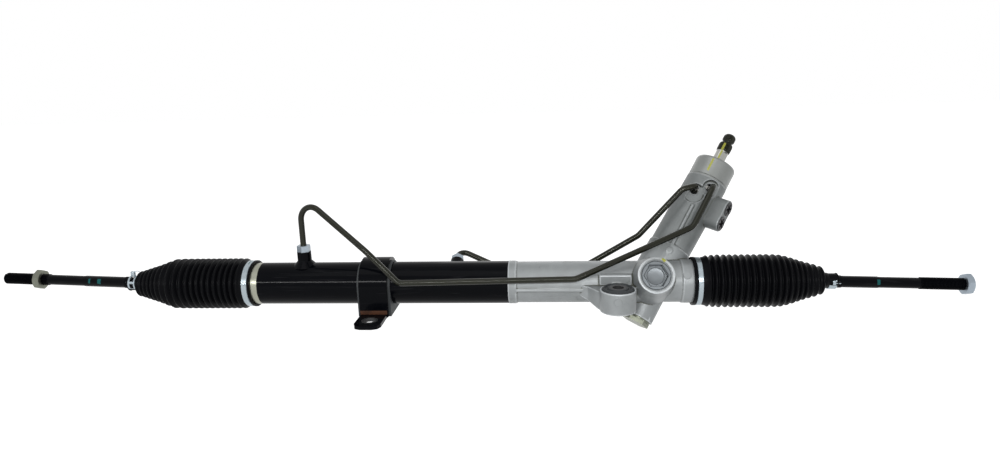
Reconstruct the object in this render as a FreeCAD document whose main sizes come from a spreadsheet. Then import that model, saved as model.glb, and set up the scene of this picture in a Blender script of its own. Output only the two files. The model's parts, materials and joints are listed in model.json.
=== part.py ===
import FreeCAD, Part
import Sketcher
import math
import os
import re

Vector = FreeCAD.Vector
Placement = FreeCAD.Placement

# Power steering rack. The rack lies along X with the pinion end at +X, +Y points away from
# the side that carries the yoke plug, and +Z is up. The origin is on the mount bolt's axis
# at the lower seat of the housing's mount bush. Lengths are in mm, angles in degrees.

doc = FreeCAD.newDocument("SteeringRack")
sheet = doc.addObject("Spreadsheet::Sheet", "Sizes")

SIZES = [
    # name, value, what it measures
    ("axis_behind", 48.0, "rack axis behind the mount bolt"),
    ("axis_above", 20.0, "rack axis above the bush's lower seat"),
    ("running_gap", 0.05, "radial gap of a running fit"),
    ("seat_gap", 0.02, "radial gap of a piece that is pressed or screwed home"),
    ("soft_gap", 0.3, "gap round a soft piece that moves"),
    # cylinder tube
    ("tube_bore", 44.0, "bore of the cylinder tube"),
    ("tube_wall", 3.0, "wall of the cylinder tube"),
    ("tube_dia", "=tube_bore + 2 * tube_wall", "outer diameter of the cylinder tube"),
    ("tube_left", -440.5, "left end of the cylinder tube"),
    ("left_port", -368.5, "left cylinder port along the rack"),
    ("rear_port", -189.4, "rear cylinder port along the rack"),
    ("rear_port_turn", 68.0, "rear port's tilt back from upright"),
    ("port_boss_dia", 16.6, "outer diameter of a cylinder port boss"),
    ("port_boss_height", 14.5, "height of a port boss above the tube"),
    ("port_drill", 6.0, "oil drilling of a cylinder port"),
    ("port_thread", 10.0, "thread of a cylinder port"),
    ("port_thread_depth", 11.0, "depth of a port's thread"),
    ("weld_spread", 3.5, "how far a port's weld spreads"),
    # pinion housing
    ("casting_left", -123.4, "left face of the pinion housing"),
    ("casting_right", 97.0, "right end of the pinion housing"),
    ("barrel_dia", 48.2, "outer diameter of the housing's barrel"),
    ("casting_bore", 30.0, "rack bore of the housing"),
    ("collar_dia", 50.6, "collar against the cylinder tube"),
    ("collar_width", 9.3, "width of that collar"),
    ("spigot_length", 22.0, "housing spigot inside the tube"),
    ("seal_dia", 38.0, "outer diameter of the rack seals"),
    ("seal_width", 8.0, "width of the rack seals"),
    ("end_collar_dia", 50.2, "collar beside the right boot"),
    ("end_collar_length", 21.6, "length of that collar with the boot's seat"),
    ("cuff_seat_length", 10.2, "boot seat at the housing's right end"),
    ("rib_width", 3.0, "width of the casting's ribs"),
    ("rib_height", 1.2, "height of the barrel's ribs"),
    # mount boss and bush
    ("boss_dia", 40.0, "mount boss"),
    ("boss_foot", 1.5, "lower face of the mount boss"),
    ("boss_height", 26.0, "upper face of the mount boss"),
    ("bush_dia", 36.0, "outer diameter of the mount bush"),
    ("sleeve_dia", 18.0, "outer diameter of the bush's sleeve"),
    ("bolt_hole", 12.5, "bolt bore of the bush's sleeve"),
    ("sleeve_height", 28.0, "height of the bush's sleeve"),
    ("bush_lip", 2.0, "rubber standing above the boss"),
    ("bush_groove_depth", 1.6, "ring grooves in the rubber's top"),
    # yoke
    ("yoke_x", 42.0, "yoke axis along the rack"),
    ("front_lift", 25.0, "how far the yoke points up from level"),
    ("yoke_boss_dia", 41.0, "yoke boss"),
    ("yoke_boss_reach", 49.0, "yoke boss face from the rack axis"),
    ("yoke_bore", 32.0, "bore for the yoke"),
    ("yoke_top", 33.0, "top of the yoke from the rack axis"),
    ("yoke_play", 0.1, "play between yoke and plug"),
    ("yoke_skirt", 3.0, "lower edge of the yoke from the rack axis"),
    ("plug_face", 47.6, "outer face of the yoke plug from the rack axis"),
    ("plug_hex", 23.0, "hex recess of the yoke plug, across flats"),
    ("plug_hex_depth", 7.0, "depth of that recess"),
    ("plug_dot_dia", 18.0, "raised round at the recess's bottom"),
    ("spring_dia", 17.0, "mean diameter of the yoke spring"),
    ("spring_wire", 2.8, "wire of the yoke spring"),
    ("spring_seat", 24.0, "spring seat in the yoke from the rack axis"),
    ("spring_length", 14.0, "length of the yoke spring"),
    ("spring_turns", 3.5, "turns of the yoke spring"),
    ("ring_wire", 2.4, "section of the yoke's seal ring"),
    # pinion and valve tower
    ("pinion_x", 48.4, "pinion axis along the rack"),
    ("pinion_lean", 28.9, "pinion's lean towards the right boot"),
    ("module", 1.8, "normal module of the teeth"),
    ("tooth_count", 8, "teeth of the pinion"),
    ("pressure", 20.0, "pressure angle of the rack's teeth"),
    ("shift_share", 0.35, "profile shift of the pinion, in modules"),
    ("tip_share", 0.9, "addendum, in modules"),
    ("root_share", 1.25, "dedendum, in modules"),
    ("backlash", 0.4, "backlash along the rack"),
    ("rack_line", 8.4, "reference line of the teeth from the rack axis"),
    ("gear_half", 17.0, "half length of the pinion's teeth"),
    ("tower_dia", 49.2, "outer diameter of the valve tower"),
    ("tower_shift", -4.6, "how far the tower's outside stands aside at the rack"),
    ("tower_top", 139.6, "top of the tower along the pinion"),
    ("foot_dia", 37.4, "lower pinion boss"),
    ("foot_reach", 46.0, "lower end of that boss below the rack"),
    ("gear_room", 25.0, "bore round the pinion's teeth"),
    ("valve_bore", 34.0, "bore round the valve sleeve"),
    ("valve_floor", 82.0, "floor of the valve bore"),
    ("throat_bore", 30.0, "bore between teeth and valve"),
    ("lower_bearing_dia", 28.0, "outer diameter of the lower bearing"),
    ("lower_bearing_bore", 12.0, "bore of the lower bearing"),
    ("lower_bearing_width", 8.0, "width of the lower bearing"),
    ("lower_bearing_top", -24.0, "top of the lower bearing along the pinion"),
    ("middle_bearing_width", 10.0, "width of the pinion's upper bearing"),
    ("middle_bearing_floor", 26.0, "floor of the pinion's upper bearing"),
    ("pinion_neck", 17.0, "pinion shaft above the teeth"),
    ("pinion_head", 30.0, "pinion's head under the valve sleeve"),
    ("head_height", 7.0, "height of the pinion's head"),
    ("foot_plug_hex", 29.0, "hex of the lower plug, across flats"),
    ("foot_plug_head", 6.5, "height of the lower plug's head"),
    ("foot_plug_thread", 5.0, "thread of the lower plug"),
    ("lock_nut_hex", 17.0, "hex of the pinion's lock nut, across flats"),
    ("lock_nut_height", 6.5, "height of the pinion's lock nut"),
    ("sleeve_length", 42.0, "length of the valve sleeve"),
    ("spool_dia", 22.0, "spool on the input shaft"),
    ("sleeve_ring_width", 2.2, "width of the valve sleeve's rings"),
    ("sleeve_ring_depth", 1.6, "depth of those rings"),
    ("cap_dia", 48.4, "valve cap"),
    ("cap_height", 26.6, "height of the valve cap above the tower"),
    ("cap_round", 3.0, "rounded edge of the valve cap"),
    ("cap_spigot", 5.0, "valve cap's spigot in the tower"),
    ("cap_bearing_dia", 30.0, "outer diameter of the bearing in the cap"),
    ("cap_bearing_width", 9.0, "width of that bearing"),
    ("cap_seal_dia", 26.0, "outer diameter of the shaft seal"),
    ("cap_seal_width", 6.0, "width of the shaft seal"),
    ("dust_seal_dia", 27.0, "outer diameter of the dust seal"),
    ("dust_seal_height", 2.6, "dust seal standing above the cap"),
    ("torsion_bar_dia", 7.0, "torsion bar"),
    ("torsion_bore", 9.0, "bore round the torsion bar"),
    ("torsion_pin_dia", 4.0, "pin through the input shaft's tip"),
    # input shaft, stations from the cap's top
    ("bearing_journal", 18.0, "input shaft in its bearing"),
    ("shaft_dia", 14.6, "smooth part of the input shaft"),
    ("flats", 12.0, "across the flats of the input shaft"),
    ("flats_end", 17.0, "end of the flats above the cap"),
    ("lower_spline_dia", 16.6, "lower serrated part"),
    ("lower_spline_end", 29.8, "end of the lower serrated part"),
    ("clamp_neck_dia", 11.6, "neck for the clamp bolt"),
    ("tip_spline_dia", 14.8, "serrated tip"),
    ("tip_spline_length", 9.6, "length of the serrated tip"),
    ("shaft_reach", 41.5, "input shaft above the cap"),
    # oil ports of the tower
    ("pipe_port_face", 19.5, "spot face of a pipe port from the tower's axis"),
    ("pipe_port_bore", 10.6, "bore of a pipe port"),
    ("upper_face_up", 128.0, "upper spot face along the pinion"),
    ("upper_face_side", 6.3, "upper spot face beside the axis"),
    ("upper_face_dia", 20.0, "upper spot face"),
    ("upper_port_up", 129.0, "upper pipe port along the pinion"),
    ("upper_port_side", 5.6, "upper pipe port beside the axis"),
    ("upper_pipe_up", 129.9, "front pipe in its port, along the pinion"),
    ("upper_pipe_side", 7.0, "front pipe in its port, beside the axis"),
    ("lower_face_up", 114.0, "lower spot face along the pinion"),
    ("lower_face_side", -9.0, "lower spot face beside the axis"),
    ("lower_face_dia", 24.0, "lower spot face"),
    ("lower_port_up", 118.6, "lower pipe port along the pinion"),
    ("lower_port_side", -10.0, "lower pipe port beside the axis"),
    ("lower_pipe_up", 120.0, "rear pipe in its port, along the pinion"),
    ("lower_pipe_side", -10.8, "rear pipe in its port, beside the axis"),
    ("hose_turn", 28.0, "hose ports' turn towards the front"),
    ("hose_reach", 39.6, "face of the hose ports from the tower's axis"),
    ("hose_boss_dia", 20.4, "hose port boss"),
    ("hose_upper_up", 115.6, "upper hose port along the pinion"),
    ("hose_pitch", 19.5, "distance between the hose ports"),
    ("hose_bore", 16.0, "bore of a hose port"),
    ("hose_depth", 15.0, "depth of a hose port"),
    ("hose_plug_length", 9.0, "hose plug inside the port"),
    ("hose_plug_rim", 0.8, "hose plug standing out of the port"),
    # rack, piston and stops
    ("rack_dia", 26.0, "rack bar"),
    ("travel", 72.0, "travel of the rack each way from its middle"),
    ("stop_gap", 1.0, "what is left at the end of the travel"),
    ("rest_shift", -4.0, "where the rack stands, from its middle"),
    ("tooth_margin", 20.0, "teeth beyond the travel"),
    ("piston_width", 16.0, "width of the piston"),
    ("piston_ring_width", 4.0, "width of the piston ring"),
    ("piston_ring_depth", 3.0, "depth of the piston ring"),
    ("bush_length", 38.0, "rack bush in the tube's left end"),
    ("stop_ring_width", 2.0, "retaining ring behind the outer seal"),
    ("stop_ring_depth", 3.5, "depth of the retaining ring"),
    # inner ball joints
    ("washer_dia", 32.0, "lock washer"),
    ("washer_width", 2.0, "thickness of the lock washer"),
    ("stud_dia", 16.0, "socket's stud in the rack"),
    ("stud_length", 20.0, "length of that stud"),
    ("socket_dia", 34.0, "ball socket"),
    ("socket_hex", 31.0, "socket's wrench flats"),
    ("ball_reach", 33.0, "ball centre from the rack's end"),
    ("ball_dia", 24.0, "ball of the tie rod"),
    ("seat_wall", 1.9, "wall of the plastic seat"),
    ("ball_gap", 0.15, "radial gap inside and outside the seat"),
    ("seat_mouth", 5.0, "front edge of the seat from the ball centre"),
    ("socket_mouth", 8.0, "start of the socket's flare from the ball centre"),
    ("socket_nose", 13.0, "front of the socket from the ball centre"),
    ("nose_dia", 30.0, "socket's front diameter"),
    ("flare_dia", 28.0, "socket's flare at its front"),
    # tie rods, stations from the ball centre
    ("neck_dia", 11.6, "tie rod at the ball"),
    ("neck_end", 24.0, "end of that neck"),
    ("seat_dia", 12.6, "tie rod under the boot's neck"),
    ("collar_gap", 2.0, "collar's distance from the small clamp"),
    ("rod_collar_dia", 14.4, "diameter of that collar"),
    ("rod_collar_width", 5.0, "width of that collar"),
    ("rod_dia", 13.5, "tie rod beside the boot"),
    ("rod_step", 98.0, "step to the slimmer part"),
    ("slim_dia", 12.6, "slimmer part of the tie rod"),
    ("thread_start", 144.0, "start of the tie rod's thread"),
    ("thread_dia", 14.0, "tie rod's thread"),
    ("rod_reach", 201.5, "tie rod's tip"),
    ("tip_chamfer", 1.2, "chamfer at the tie rod's tip"),
    ("nut_hex", 22.0, "jam nut across flats"),
    ("nut_width", 8.0, "thickness of the jam nut"),
    ("left_nut_at", 152.5, "left jam nut along the rod"),
    ("left_tilt", 2.5, "left rod's rise"),
    ("right_tilt", -2.2, "right rod's rise"),
    ("left_sweep", -0.5, "left rod's lean to the back"),
    ("right_sweep", 2.0, "right rod's lean to the back"),
    # boots and clamps
    ("left_cuff", -429.1, "inner end of the left boot"),
    ("right_cuff", 87.2, "inner end of the right boot"),
    ("cuff_wall", 2.0, "wall of the boot's cuff"),
    ("bead_proud", 1.0, "bead standing out of the cuff's end"),
    ("cuff_dia", "=tube_dia + 2 * cuff_wall", "boot's cuff"),
    ("bead_dia", "=cuff_dia + 2 * bead_proud", "bead at the cuff's end"),
    ("bead_width", 2.2, "width of that bead"),
    ("ridge_dia", 61.0, "boot's ridges"),
    ("ridge_depth", 4.6, "depth of the straight part's folds"),
    ("last_ridge_depth", 2.6, "depth of the last fold"),
    ("boot_wall", 1.1, "wall of the boot under its folds"),
    ("straight_ridges", 13, "ridges whose folds are fully deep"),
    ("boot_neck_dia", 16.0, "boot's neck on the tie rod"),
    ("neck_rim", 1.4, "boot's neck beyond its clamp"),
    ("big_clamp_at", 2.8, "large clamp from the cuff's end"),
    ("big_clamp_width", 6.5, "width of the large clamp"),
    ("clamp_band", 0.9, "thickness of the large clamp's band"),
    ("left_clamp_at", 31.3, "left small clamp from the ball centre"),
    ("right_clamp_at", 41.5, "right small clamp from the ball centre"),
    ("small_clamp_width", 8.8, "width of the small clamp"),
    ("small_band", 0.8, "thickness of the small clamp's band"),
    # clamp bracket
    ("bracket_x", -280.0, "middle of the clamp bracket"),
    ("strap_width", 33.0, "width of the bracket's strap"),
    ("strap_wall", 4.0, "thickness of the strap and ears"),
    ("pad_wall", 2.0, "thickness of the bracket's rubber"),
    ("strap_dia", "=tube_dia + 2 * pad_wall + 2 * strap_wall", "outer diameter of the strap"),
    ("pad_proud", 3.0, "rubber standing out of the strap each side"),
    ("ear_top", -29.0, "top of the ears from the rack axis"),
    ("ear_reach", 71.0, "outer end of an ear from the rack axis"),
    ("ear_hole_out", 51.0, "ear hole from the rack axis"),
    ("ear_width", 31.0, "width of an ear"),
    ("ear_round", 9.0, "rounded corners of an ear"),
    ("ear_hole", 12.5, "bolt hole of an ear"),
    ("ear_sleeve_dia", 19.0, "raised sleeve round an ear's hole"),
    ("ear_sleeve_rise", 1.5, "sleeve standing out of the ear"),
    # oil pipes
    ("pipe_dia", 7.1, "oil pipe"),
    ("pipe_bore", 5.1, "bore of the oil pipe"),
    ("pipe_nut_hex", 14.0, "pipe nut across flats"),
    ("pipe_nut_height", 7.5, "pipe nut's hex"),
    ("pipe_bend", 16.0, "bend of the oil pipes"),
    ("tight_bend", 9.0, "bend at the ports"),
]

for row, (name, value, note) in enumerate(SIZES, start=1):
    sheet.set("A%d" % row, note)
    sheet.set("B%d" % row, str(value))
    sheet.setAlias("B%d" % row, name)
doc.recompute()


class Values:
    pass


size = Values()
for name, value, note in SIZES:
    setattr(size, name, float(sheet.get(name)))
NAMES = {name for name, value, note in SIZES}
WORD = re.compile(r"[a-z_]+")


def bound(text):
    # "tube_dia / 2" becomes "Sizes.tube_dia / 2"
    return WORD.sub(lambda found: "Sizes." + found.group(0) if found.group(0) in NAMES
                    else found.group(0), text)


def worth(text):
    return float(sheet.evalExpression(bound(text)))


# Directions and places

X_AXIS = Vector(1, 0, 0)
Y_AXIS = Vector(0, 1, 0)
Z_AXIS = Vector(0, 0, 1)
lift = math.radians(size.front_lift)
lean = math.radians(size.pinion_lean)
FRONT = Vector(0, -math.cos(lift), math.sin(lift))
CROSS = Vector(0, math.sin(lift), math.cos(lift))
SHAFT = X_AXIS * math.sin(lean) + CROSS * math.cos(lean)
SIDE = X_AXIS * math.cos(lean) - CROSS * math.sin(lean)
hose = math.radians(size.hose_turn)
HOSE = SIDE * math.cos(hose) + FRONT * math.sin(hose)
rear_turn = math.radians(size.rear_port_turn)
REAR_PORT = Vector(0, math.sin(rear_turn), math.cos(rear_turn))

pitch = math.pi * size.module
pitch_radius = size.tooth_count * size.module / 2 / math.cos(lean)
centre_distance = size.rack_line + pitch_radius + size.shift_share * size.module


def on_rack(x):
    return Vector(x, size.axis_behind, size.axis_above)


PINION = on_rack(size.pinion_x) - FRONT * centre_distance


def on_pinion(along, side=0.0, front=0.0):
    return PINION + SHAFT * along + SIDE * side + FRONT * front


def facing(origin, axis, up=None):
    # local Z along axis
    axis = Vector(axis).normalize()
    if up is None:
        return Placement(origin, FreeCAD.Rotation(Z_AXIS, axis))
    return Placement(origin, FreeCAD.Rotation(Vector(), up, axis, "ZXY"))


def lying(origin, axis, up=Z_AXIS):
    # local X along axis, local Z near up
    return Placement(origin, FreeCAD.Rotation(axis, Vector(), up, "XZY"))


# Document objects

def labelled(thing, label):
    thing.Label = label
    return thing


def cylinder(label, diameter, length, origin, axis, up=None):
    thing = labelled(doc.addObject("Part::Cylinder", label), label)
    thing.setExpression("Radius", bound("(%s) / 2" % diameter))
    thing.setExpression("Height", bound(length))
    thing.Placement = facing(origin, axis, up)
    return thing


def cone(label, first, second, length, origin, axis):
    thing = labelled(doc.addObject("Part::Cone", label), label)
    thing.setExpression("Radius1", bound("(%s) / 2" % first))
    thing.setExpression("Radius2", bound("(%s) / 2" % second))
    thing.setExpression("Height", bound(length))
    thing.Placement = facing(origin, axis)
    return thing


def sphere(label, diameter, centre, axis, cap=None):
    # with a cap, the ball ends in a flat that lies that far from its centre along the axis
    thing = labelled(doc.addObject("Part::Sphere", label), label)
    thing.setExpression("Radius", bound("(%s) / 2" % diameter))
    if cap is not None:
        thing.setExpression("Angle2", bound("asin((%s) / ((%s) / 2))" % (cap, diameter)))
    thing.Placement = facing(centre, axis)
    return thing


def hexagon(label, flats, length, origin, axis, up):
    thing = labelled(doc.addObject("Part::Prism", label), label)
    thing.Polygon = 6
    thing.setExpression("Circumradius", bound("(%s) / 2 / cos(30)" % flats))
    thing.setExpression("Height", bound(length))
    thing.Placement = facing(origin, axis, up)
    return thing


def block(label, along, across, height, foot, direction, axis=Z_AXIS):
    # along direction, high along axis, foot in the middle of the lower face
    thing = labelled(doc.addObject("Part::Box", label), label)
    thing.setExpression("Length", bound(along))
    thing.setExpression("Width", bound(across))
    thing.setExpression("Height", bound(height))
    side = axis.cross(direction)
    corner = foot - direction * (worth(along) / 2) - side * (worth(across) / 2)
    thing.Placement = Placement(corner, FreeCAD.Rotation(direction, Vector(), axis, "ZXY"))
    return thing


def fused(label, *things):
    thing = labelled(doc.addObject("Part::MultiFuse", label), label)
    thing.Shapes = list(things)
    return thing


def cut(label, base, *tools):
    thing = labelled(doc.addObject("Part::Cut", label), label)
    thing.Base = base
    thing.Tool = tools[0] if len(tools) == 1 else fused(label + "_tools", *tools)
    return thing


def common(label, first, second):
    thing = labelled(doc.addObject("Part::MultiCommon", label), label)
    thing.Shapes = [first, second]
    return thing


def grouped(label, *things):
    thing = labelled(doc.addObject("Part::Compound", label), label)
    thing.Links = list(things)
    return thing


def solid_feature(label, shape, place=None):
    thing = labelled(doc.addObject("Part::Feature", label), label)
    thing.Shape = shape
    if place is not None:
        thing.Placement = place
    return thing


def origin_plane(body, role):
    return next(part for part in body.Origin.OriginFeatures if part.Role == role)


def outline_sketch(body, name, outline, plane="XY_Plane"):
    # closed outline of straight edges, each corner held by two bound distances
    sketch = body.newObject("Sketcher::SketchObject", name)
    sketch.AttachmentSupport = [(origin_plane(body, plane), "")]
    sketch.MapMode = "FlatFace"
    corners = [Vector(worth(x), worth(y), 0) for x, y in outline]
    count = len(corners)
    edges = [Part.LineSegment(corners[i], corners[(i + 1) % count]) for i in range(count)]
    sketch.addGeometry(edges, False)
    rules = [Sketcher.Constraint("Coincident", i, 2, (i + 1) % count, 1) for i in range(count)]
    for i, corner in enumerate(corners):
        rules.append(Sketcher.Constraint("DistanceX", -1, 1, i, 1, corner.x))
        rules.append(Sketcher.Constraint("DistanceY", -1, 1, i, 1, corner.y))
    sketch.addConstraint(rules)
    for i, (x, y) in enumerate(outline):
        sketch.setExpression("Constraints[%d]" % (count + 2 * i), bound(x))
        sketch.setExpression("Constraints[%d]" % (count + 2 * i + 1), bound(y))
    return sketch


def turned(label, outline, place):
    # body of revolution about its own X, from (station, radius) corners
    body = labelled(doc.addObject("PartDesign::Body", label), label)
    sketch = outline_sketch(body, label + "_outline", outline)
    turn = body.newObject("PartDesign::Revolution", label + "_turn")
    turn.Profile = sketch
    turn.ReferenceAxis = (sketch, ["H_Axis"])
    turn.Angle = 360
    body.Placement = place
    return body


def extruded(label, outline, height, place, midplane=False):
    # body padded along its own Z from an outline in its XY plane
    body = labelled(doc.addObject("PartDesign::Body", label), label)
    sketch = outline_sketch(body, label + "_outline", outline)
    pad = body.newObject("PartDesign::Pad", label + "_pad")
    pad.Profile = sketch
    pad.setExpression("Length", bound(height))
    pad.Midplane = midplane
    body.Placement = place
    return body


def ring(label, outer, inner, width, origin, axis):
    outline = [("0", "(%s) / 2" % inner), (width, "(%s) / 2" % inner),
               (width, "(%s) / 2" % outer), ("0", "(%s) / 2" % outer)]
    return turned(label, outline, lying(origin, axis, up_for(axis)))


def up_for(axis):
    return FRONT if abs(axis.dot(Z_AXIS)) > 0.8 else Z_AXIS


NODES = []


def keep(thing):
    NODES.append(thing)
    return thing


# Cylinder tube with its two welded port bosses

def cylinder_tube():
    length = "casting_left - tube_left"
    left = on_rack(size.tube_left)
    tube = cylinder("tube_outside", "tube_dia", length, left, X_AXIS)
    bore = cylinder("tube_inside", "tube_bore", length, left, X_AXIS)
    bosses = []
    drills = []
    for side, station, axis in (("left", size.left_port, Z_AXIS),
                                ("rear", size.rear_port, REAR_PORT)):
        foot = on_rack(station)
        skin = foot + axis * (size.tube_dia / 2)
        bosses.append(cylinder(side + "_boss", "port_boss_dia",
                               "tube_dia / 2 + port_boss_height", foot, axis))
        bosses.append(cone(side + "_weld", "port_boss_dia + 4 * weld_spread", "port_boss_dia",
                           "2 * weld_spread", skin - axis * size.weld_spread, axis))
        drills.append(cylinder(side + "_drill", "port_drill", "tube_dia", foot, axis))
        drills.append(cylinder(side + "_tapping", "port_thread", "port_thread_depth + 1",
                               skin + axis * (size.port_boss_height - size.port_thread_depth),
                               axis))
    keep(cut("cylinder_tube", fused("tube_with_bosses", tube, *bosses), bore, *drills))


def port_top(station, axis, above=0.0):
    return on_rack(station) + axis * (size.tube_dia / 2 + size.port_boss_height + above)


def pipe_nuts():
    nuts = []
    for side, station, axis in (("left", size.left_port, Z_AXIS),
                                ("rear", size.rear_port, REAR_PORT)):
        seat = port_top(station, axis)
        hexed = hexagon(side + "_nut_hex", "pipe_nut_hex", "pipe_nut_height", seat, axis, X_AXIS)
        shank = cylinder(side + "_nut_shank", "port_thread - 2 * seat_gap",
                         "port_thread_depth - 1",
                         seat - axis * (size.port_thread_depth - 1), axis)
        hole = cylinder(side + "_nut_hole", "pipe_dia + 2 * seat_gap",
                        "port_thread_depth + pipe_nut_height + 2",
                        seat - axis * (size.port_thread_depth + 1), axis)
        body = fused(side + "_nut_body", hexed, shank)
        nuts.append(cut(side + "_pipe_nut", body, hole))
    keep(grouped("pipe_nuts", *nuts))


# Pinion housing: one casting of barrel, yoke boss, mount boss, foot, tower and hose ports

def barrel_pieces():
    pieces = []
    spigot = "spigot_length"
    pieces.append(cylinder("spigot", "tube_bore - 2 * seat_gap", spigot + " + 1",
                           on_rack(size.casting_left - size.spigot_length), X_AXIS))
    pieces.append(cylinder("left_collar", "collar_dia", "collar_width",
                           on_rack(size.casting_left), X_AXIS))
    pieces.append(cylinder("barrel", "barrel_dia", "casting_right - casting_left",
                           on_rack(size.casting_left), X_AXIS))
    pieces.append(cylinder("right_collar", "end_collar_dia",
                           "end_collar_length - cuff_seat_length",
                           on_rack(size.casting_right - size.end_collar_length), X_AXIS))
    pieces.append(cylinder("cuff_seat", "tube_dia - 2 * seat_gap", "cuff_seat_length",
                           on_rack(size.casting_right - size.cuff_seat_length), X_AXIS))
    return pieces


def barrel_ribs():
    # lengthwise mould line in front and a rib below
    ribs = []
    length = "yoke_x - yoke_boss_dia / 2 - casting_left - collar_width + 6"
    middle = size.casting_left + size.collar_width + worth(length) / 2
    for name, turn in (("front_rib", 97.0), ("low_rib", 200.0), ("back_rib", 277.0)):
        # turn is the rib's angle from straight up, over the front
        angle = math.radians(turn)
        out = Vector(0, -math.sin(angle), math.cos(angle))
        foot = on_rack(middle) + out * (size.barrel_dia / 2 - 2)
        ribs.append(block(name, length, "rib_width", "rib_height + 2", foot, X_AXIS, out))
    return ribs


def mount_boss_pieces():
    boss = cylinder("mount_boss", "boss_dia", "boss_height - boss_foot",
                    Vector(0, 0, size.boss_foot), Z_AXIS)
    # web from the barrel's front down to the boss, seen from above
    outline = [("-boss_dia / 2 - 34", "axis_behind - barrel_dia / 2 + 9"),
               ("-boss_dia / 2 - 12", "axis_behind - barrel_dia / 2 - 4"),
               ("-boss_dia / 2 + 5", "-7"),
               ("boss_dia / 2 - 3", "-7"),
               ("boss_dia / 2", "6"),
               ("boss_dia / 2 + 3", "axis_behind - barrel_dia / 2 + 9"),
               ("boss_dia / 2 + 3", "axis_behind"),
               ("-boss_dia / 2 - 34", "axis_behind")]
    web = extruded("mount_web", outline, "boss_height - 5",
                   Placement(Vector(0, 0, 1.5), FreeCAD.Rotation()))
    # the web's underside rises towards the left
    ramp = extruded("web_ramp", [("-boss_dia / 2 - 60", "-2"), ("-boss_dia / 2 + 6", "-2"),
                                 ("-boss_dia / 2 - 34", "16"), ("-boss_dia / 2 - 60", "16")],
                    "3 * axis_behind",
                    Placement(Vector(0, 2 * size.axis_behind, 0),
                              FreeCAD.Rotation(X_AXIS, Z_AXIS, -Y_AXIS, "ZXY")))
    shaped = cut("mount_web_shaped", web, ramp)
    pad = block("bolt_pad", "boss_dia - 4", "axis_behind / 2", "11",
                Vector(-1, size.axis_behind - size.barrel_dia / 2 + 9.5, size.boss_height - 2),
                X_AXIS)
    return [boss, shaped, pad]


def yoke_boss_pieces():
    foot = on_rack(size.yoke_x)
    boss = cylinder("yoke_boss", "yoke_boss_dia", "yoke_boss_reach", foot, FRONT)
    root = cone("yoke_boss_root", "barrel_dia + 6", "yoke_boss_dia", "yoke_boss_reach - 6",
                foot, FRONT)
    return [boss, root]


def tower_pieces():
    pieces = []
    # the outside leans a little more than the bores in it
    foot = on_pinion(0, size.tower_shift)
    tower_way = (on_pinion(size.tower_top) - foot).normalize()
    pieces.append(cylinder("tower", "tower_dia", "tower_top + 6", foot - tower_way * 4, tower_way))
    pieces.append(cylinder("pinion_foot", "foot_dia", "foot_reach",
                           on_pinion(-size.foot_reach), SHAFT))
    # rib up the tower's front with a round ejector boss, and the ledge on its right
    pieces.append(block("tower_rib", "74", "rib_width", "6.4",
                        on_pinion(63.0, -3.8, size.tower_dia / 2 - 5), SHAFT, FRONT))
    pieces.append(cylinder("tower_rib_boss", "7", "6.8",
                           on_pinion(37.6, -3.8, size.tower_dia / 2 - 5), FRONT))
    pieces.append(cylinder("tower_skirt", "tower_dia + 2.4", "46", foot, tower_way))
    return pieces


def hose_pieces():
    pieces = []
    length = "hose_reach"
    for name, drop in (("upper_hose_boss", 0.0), ("lower_hose_boss", size.hose_pitch)):
        pieces.append(cylinder(name, "hose_boss_dia", length,
                               on_pinion(size.hose_upper_up - drop), HOSE))
    pieces.append(block("hose_web", "hose_pitch", "hose_boss_dia", "hose_reach",
                        on_pinion(size.hose_upper_up - size.hose_pitch / 2), SHAFT, HOSE))
    return pieces


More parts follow.
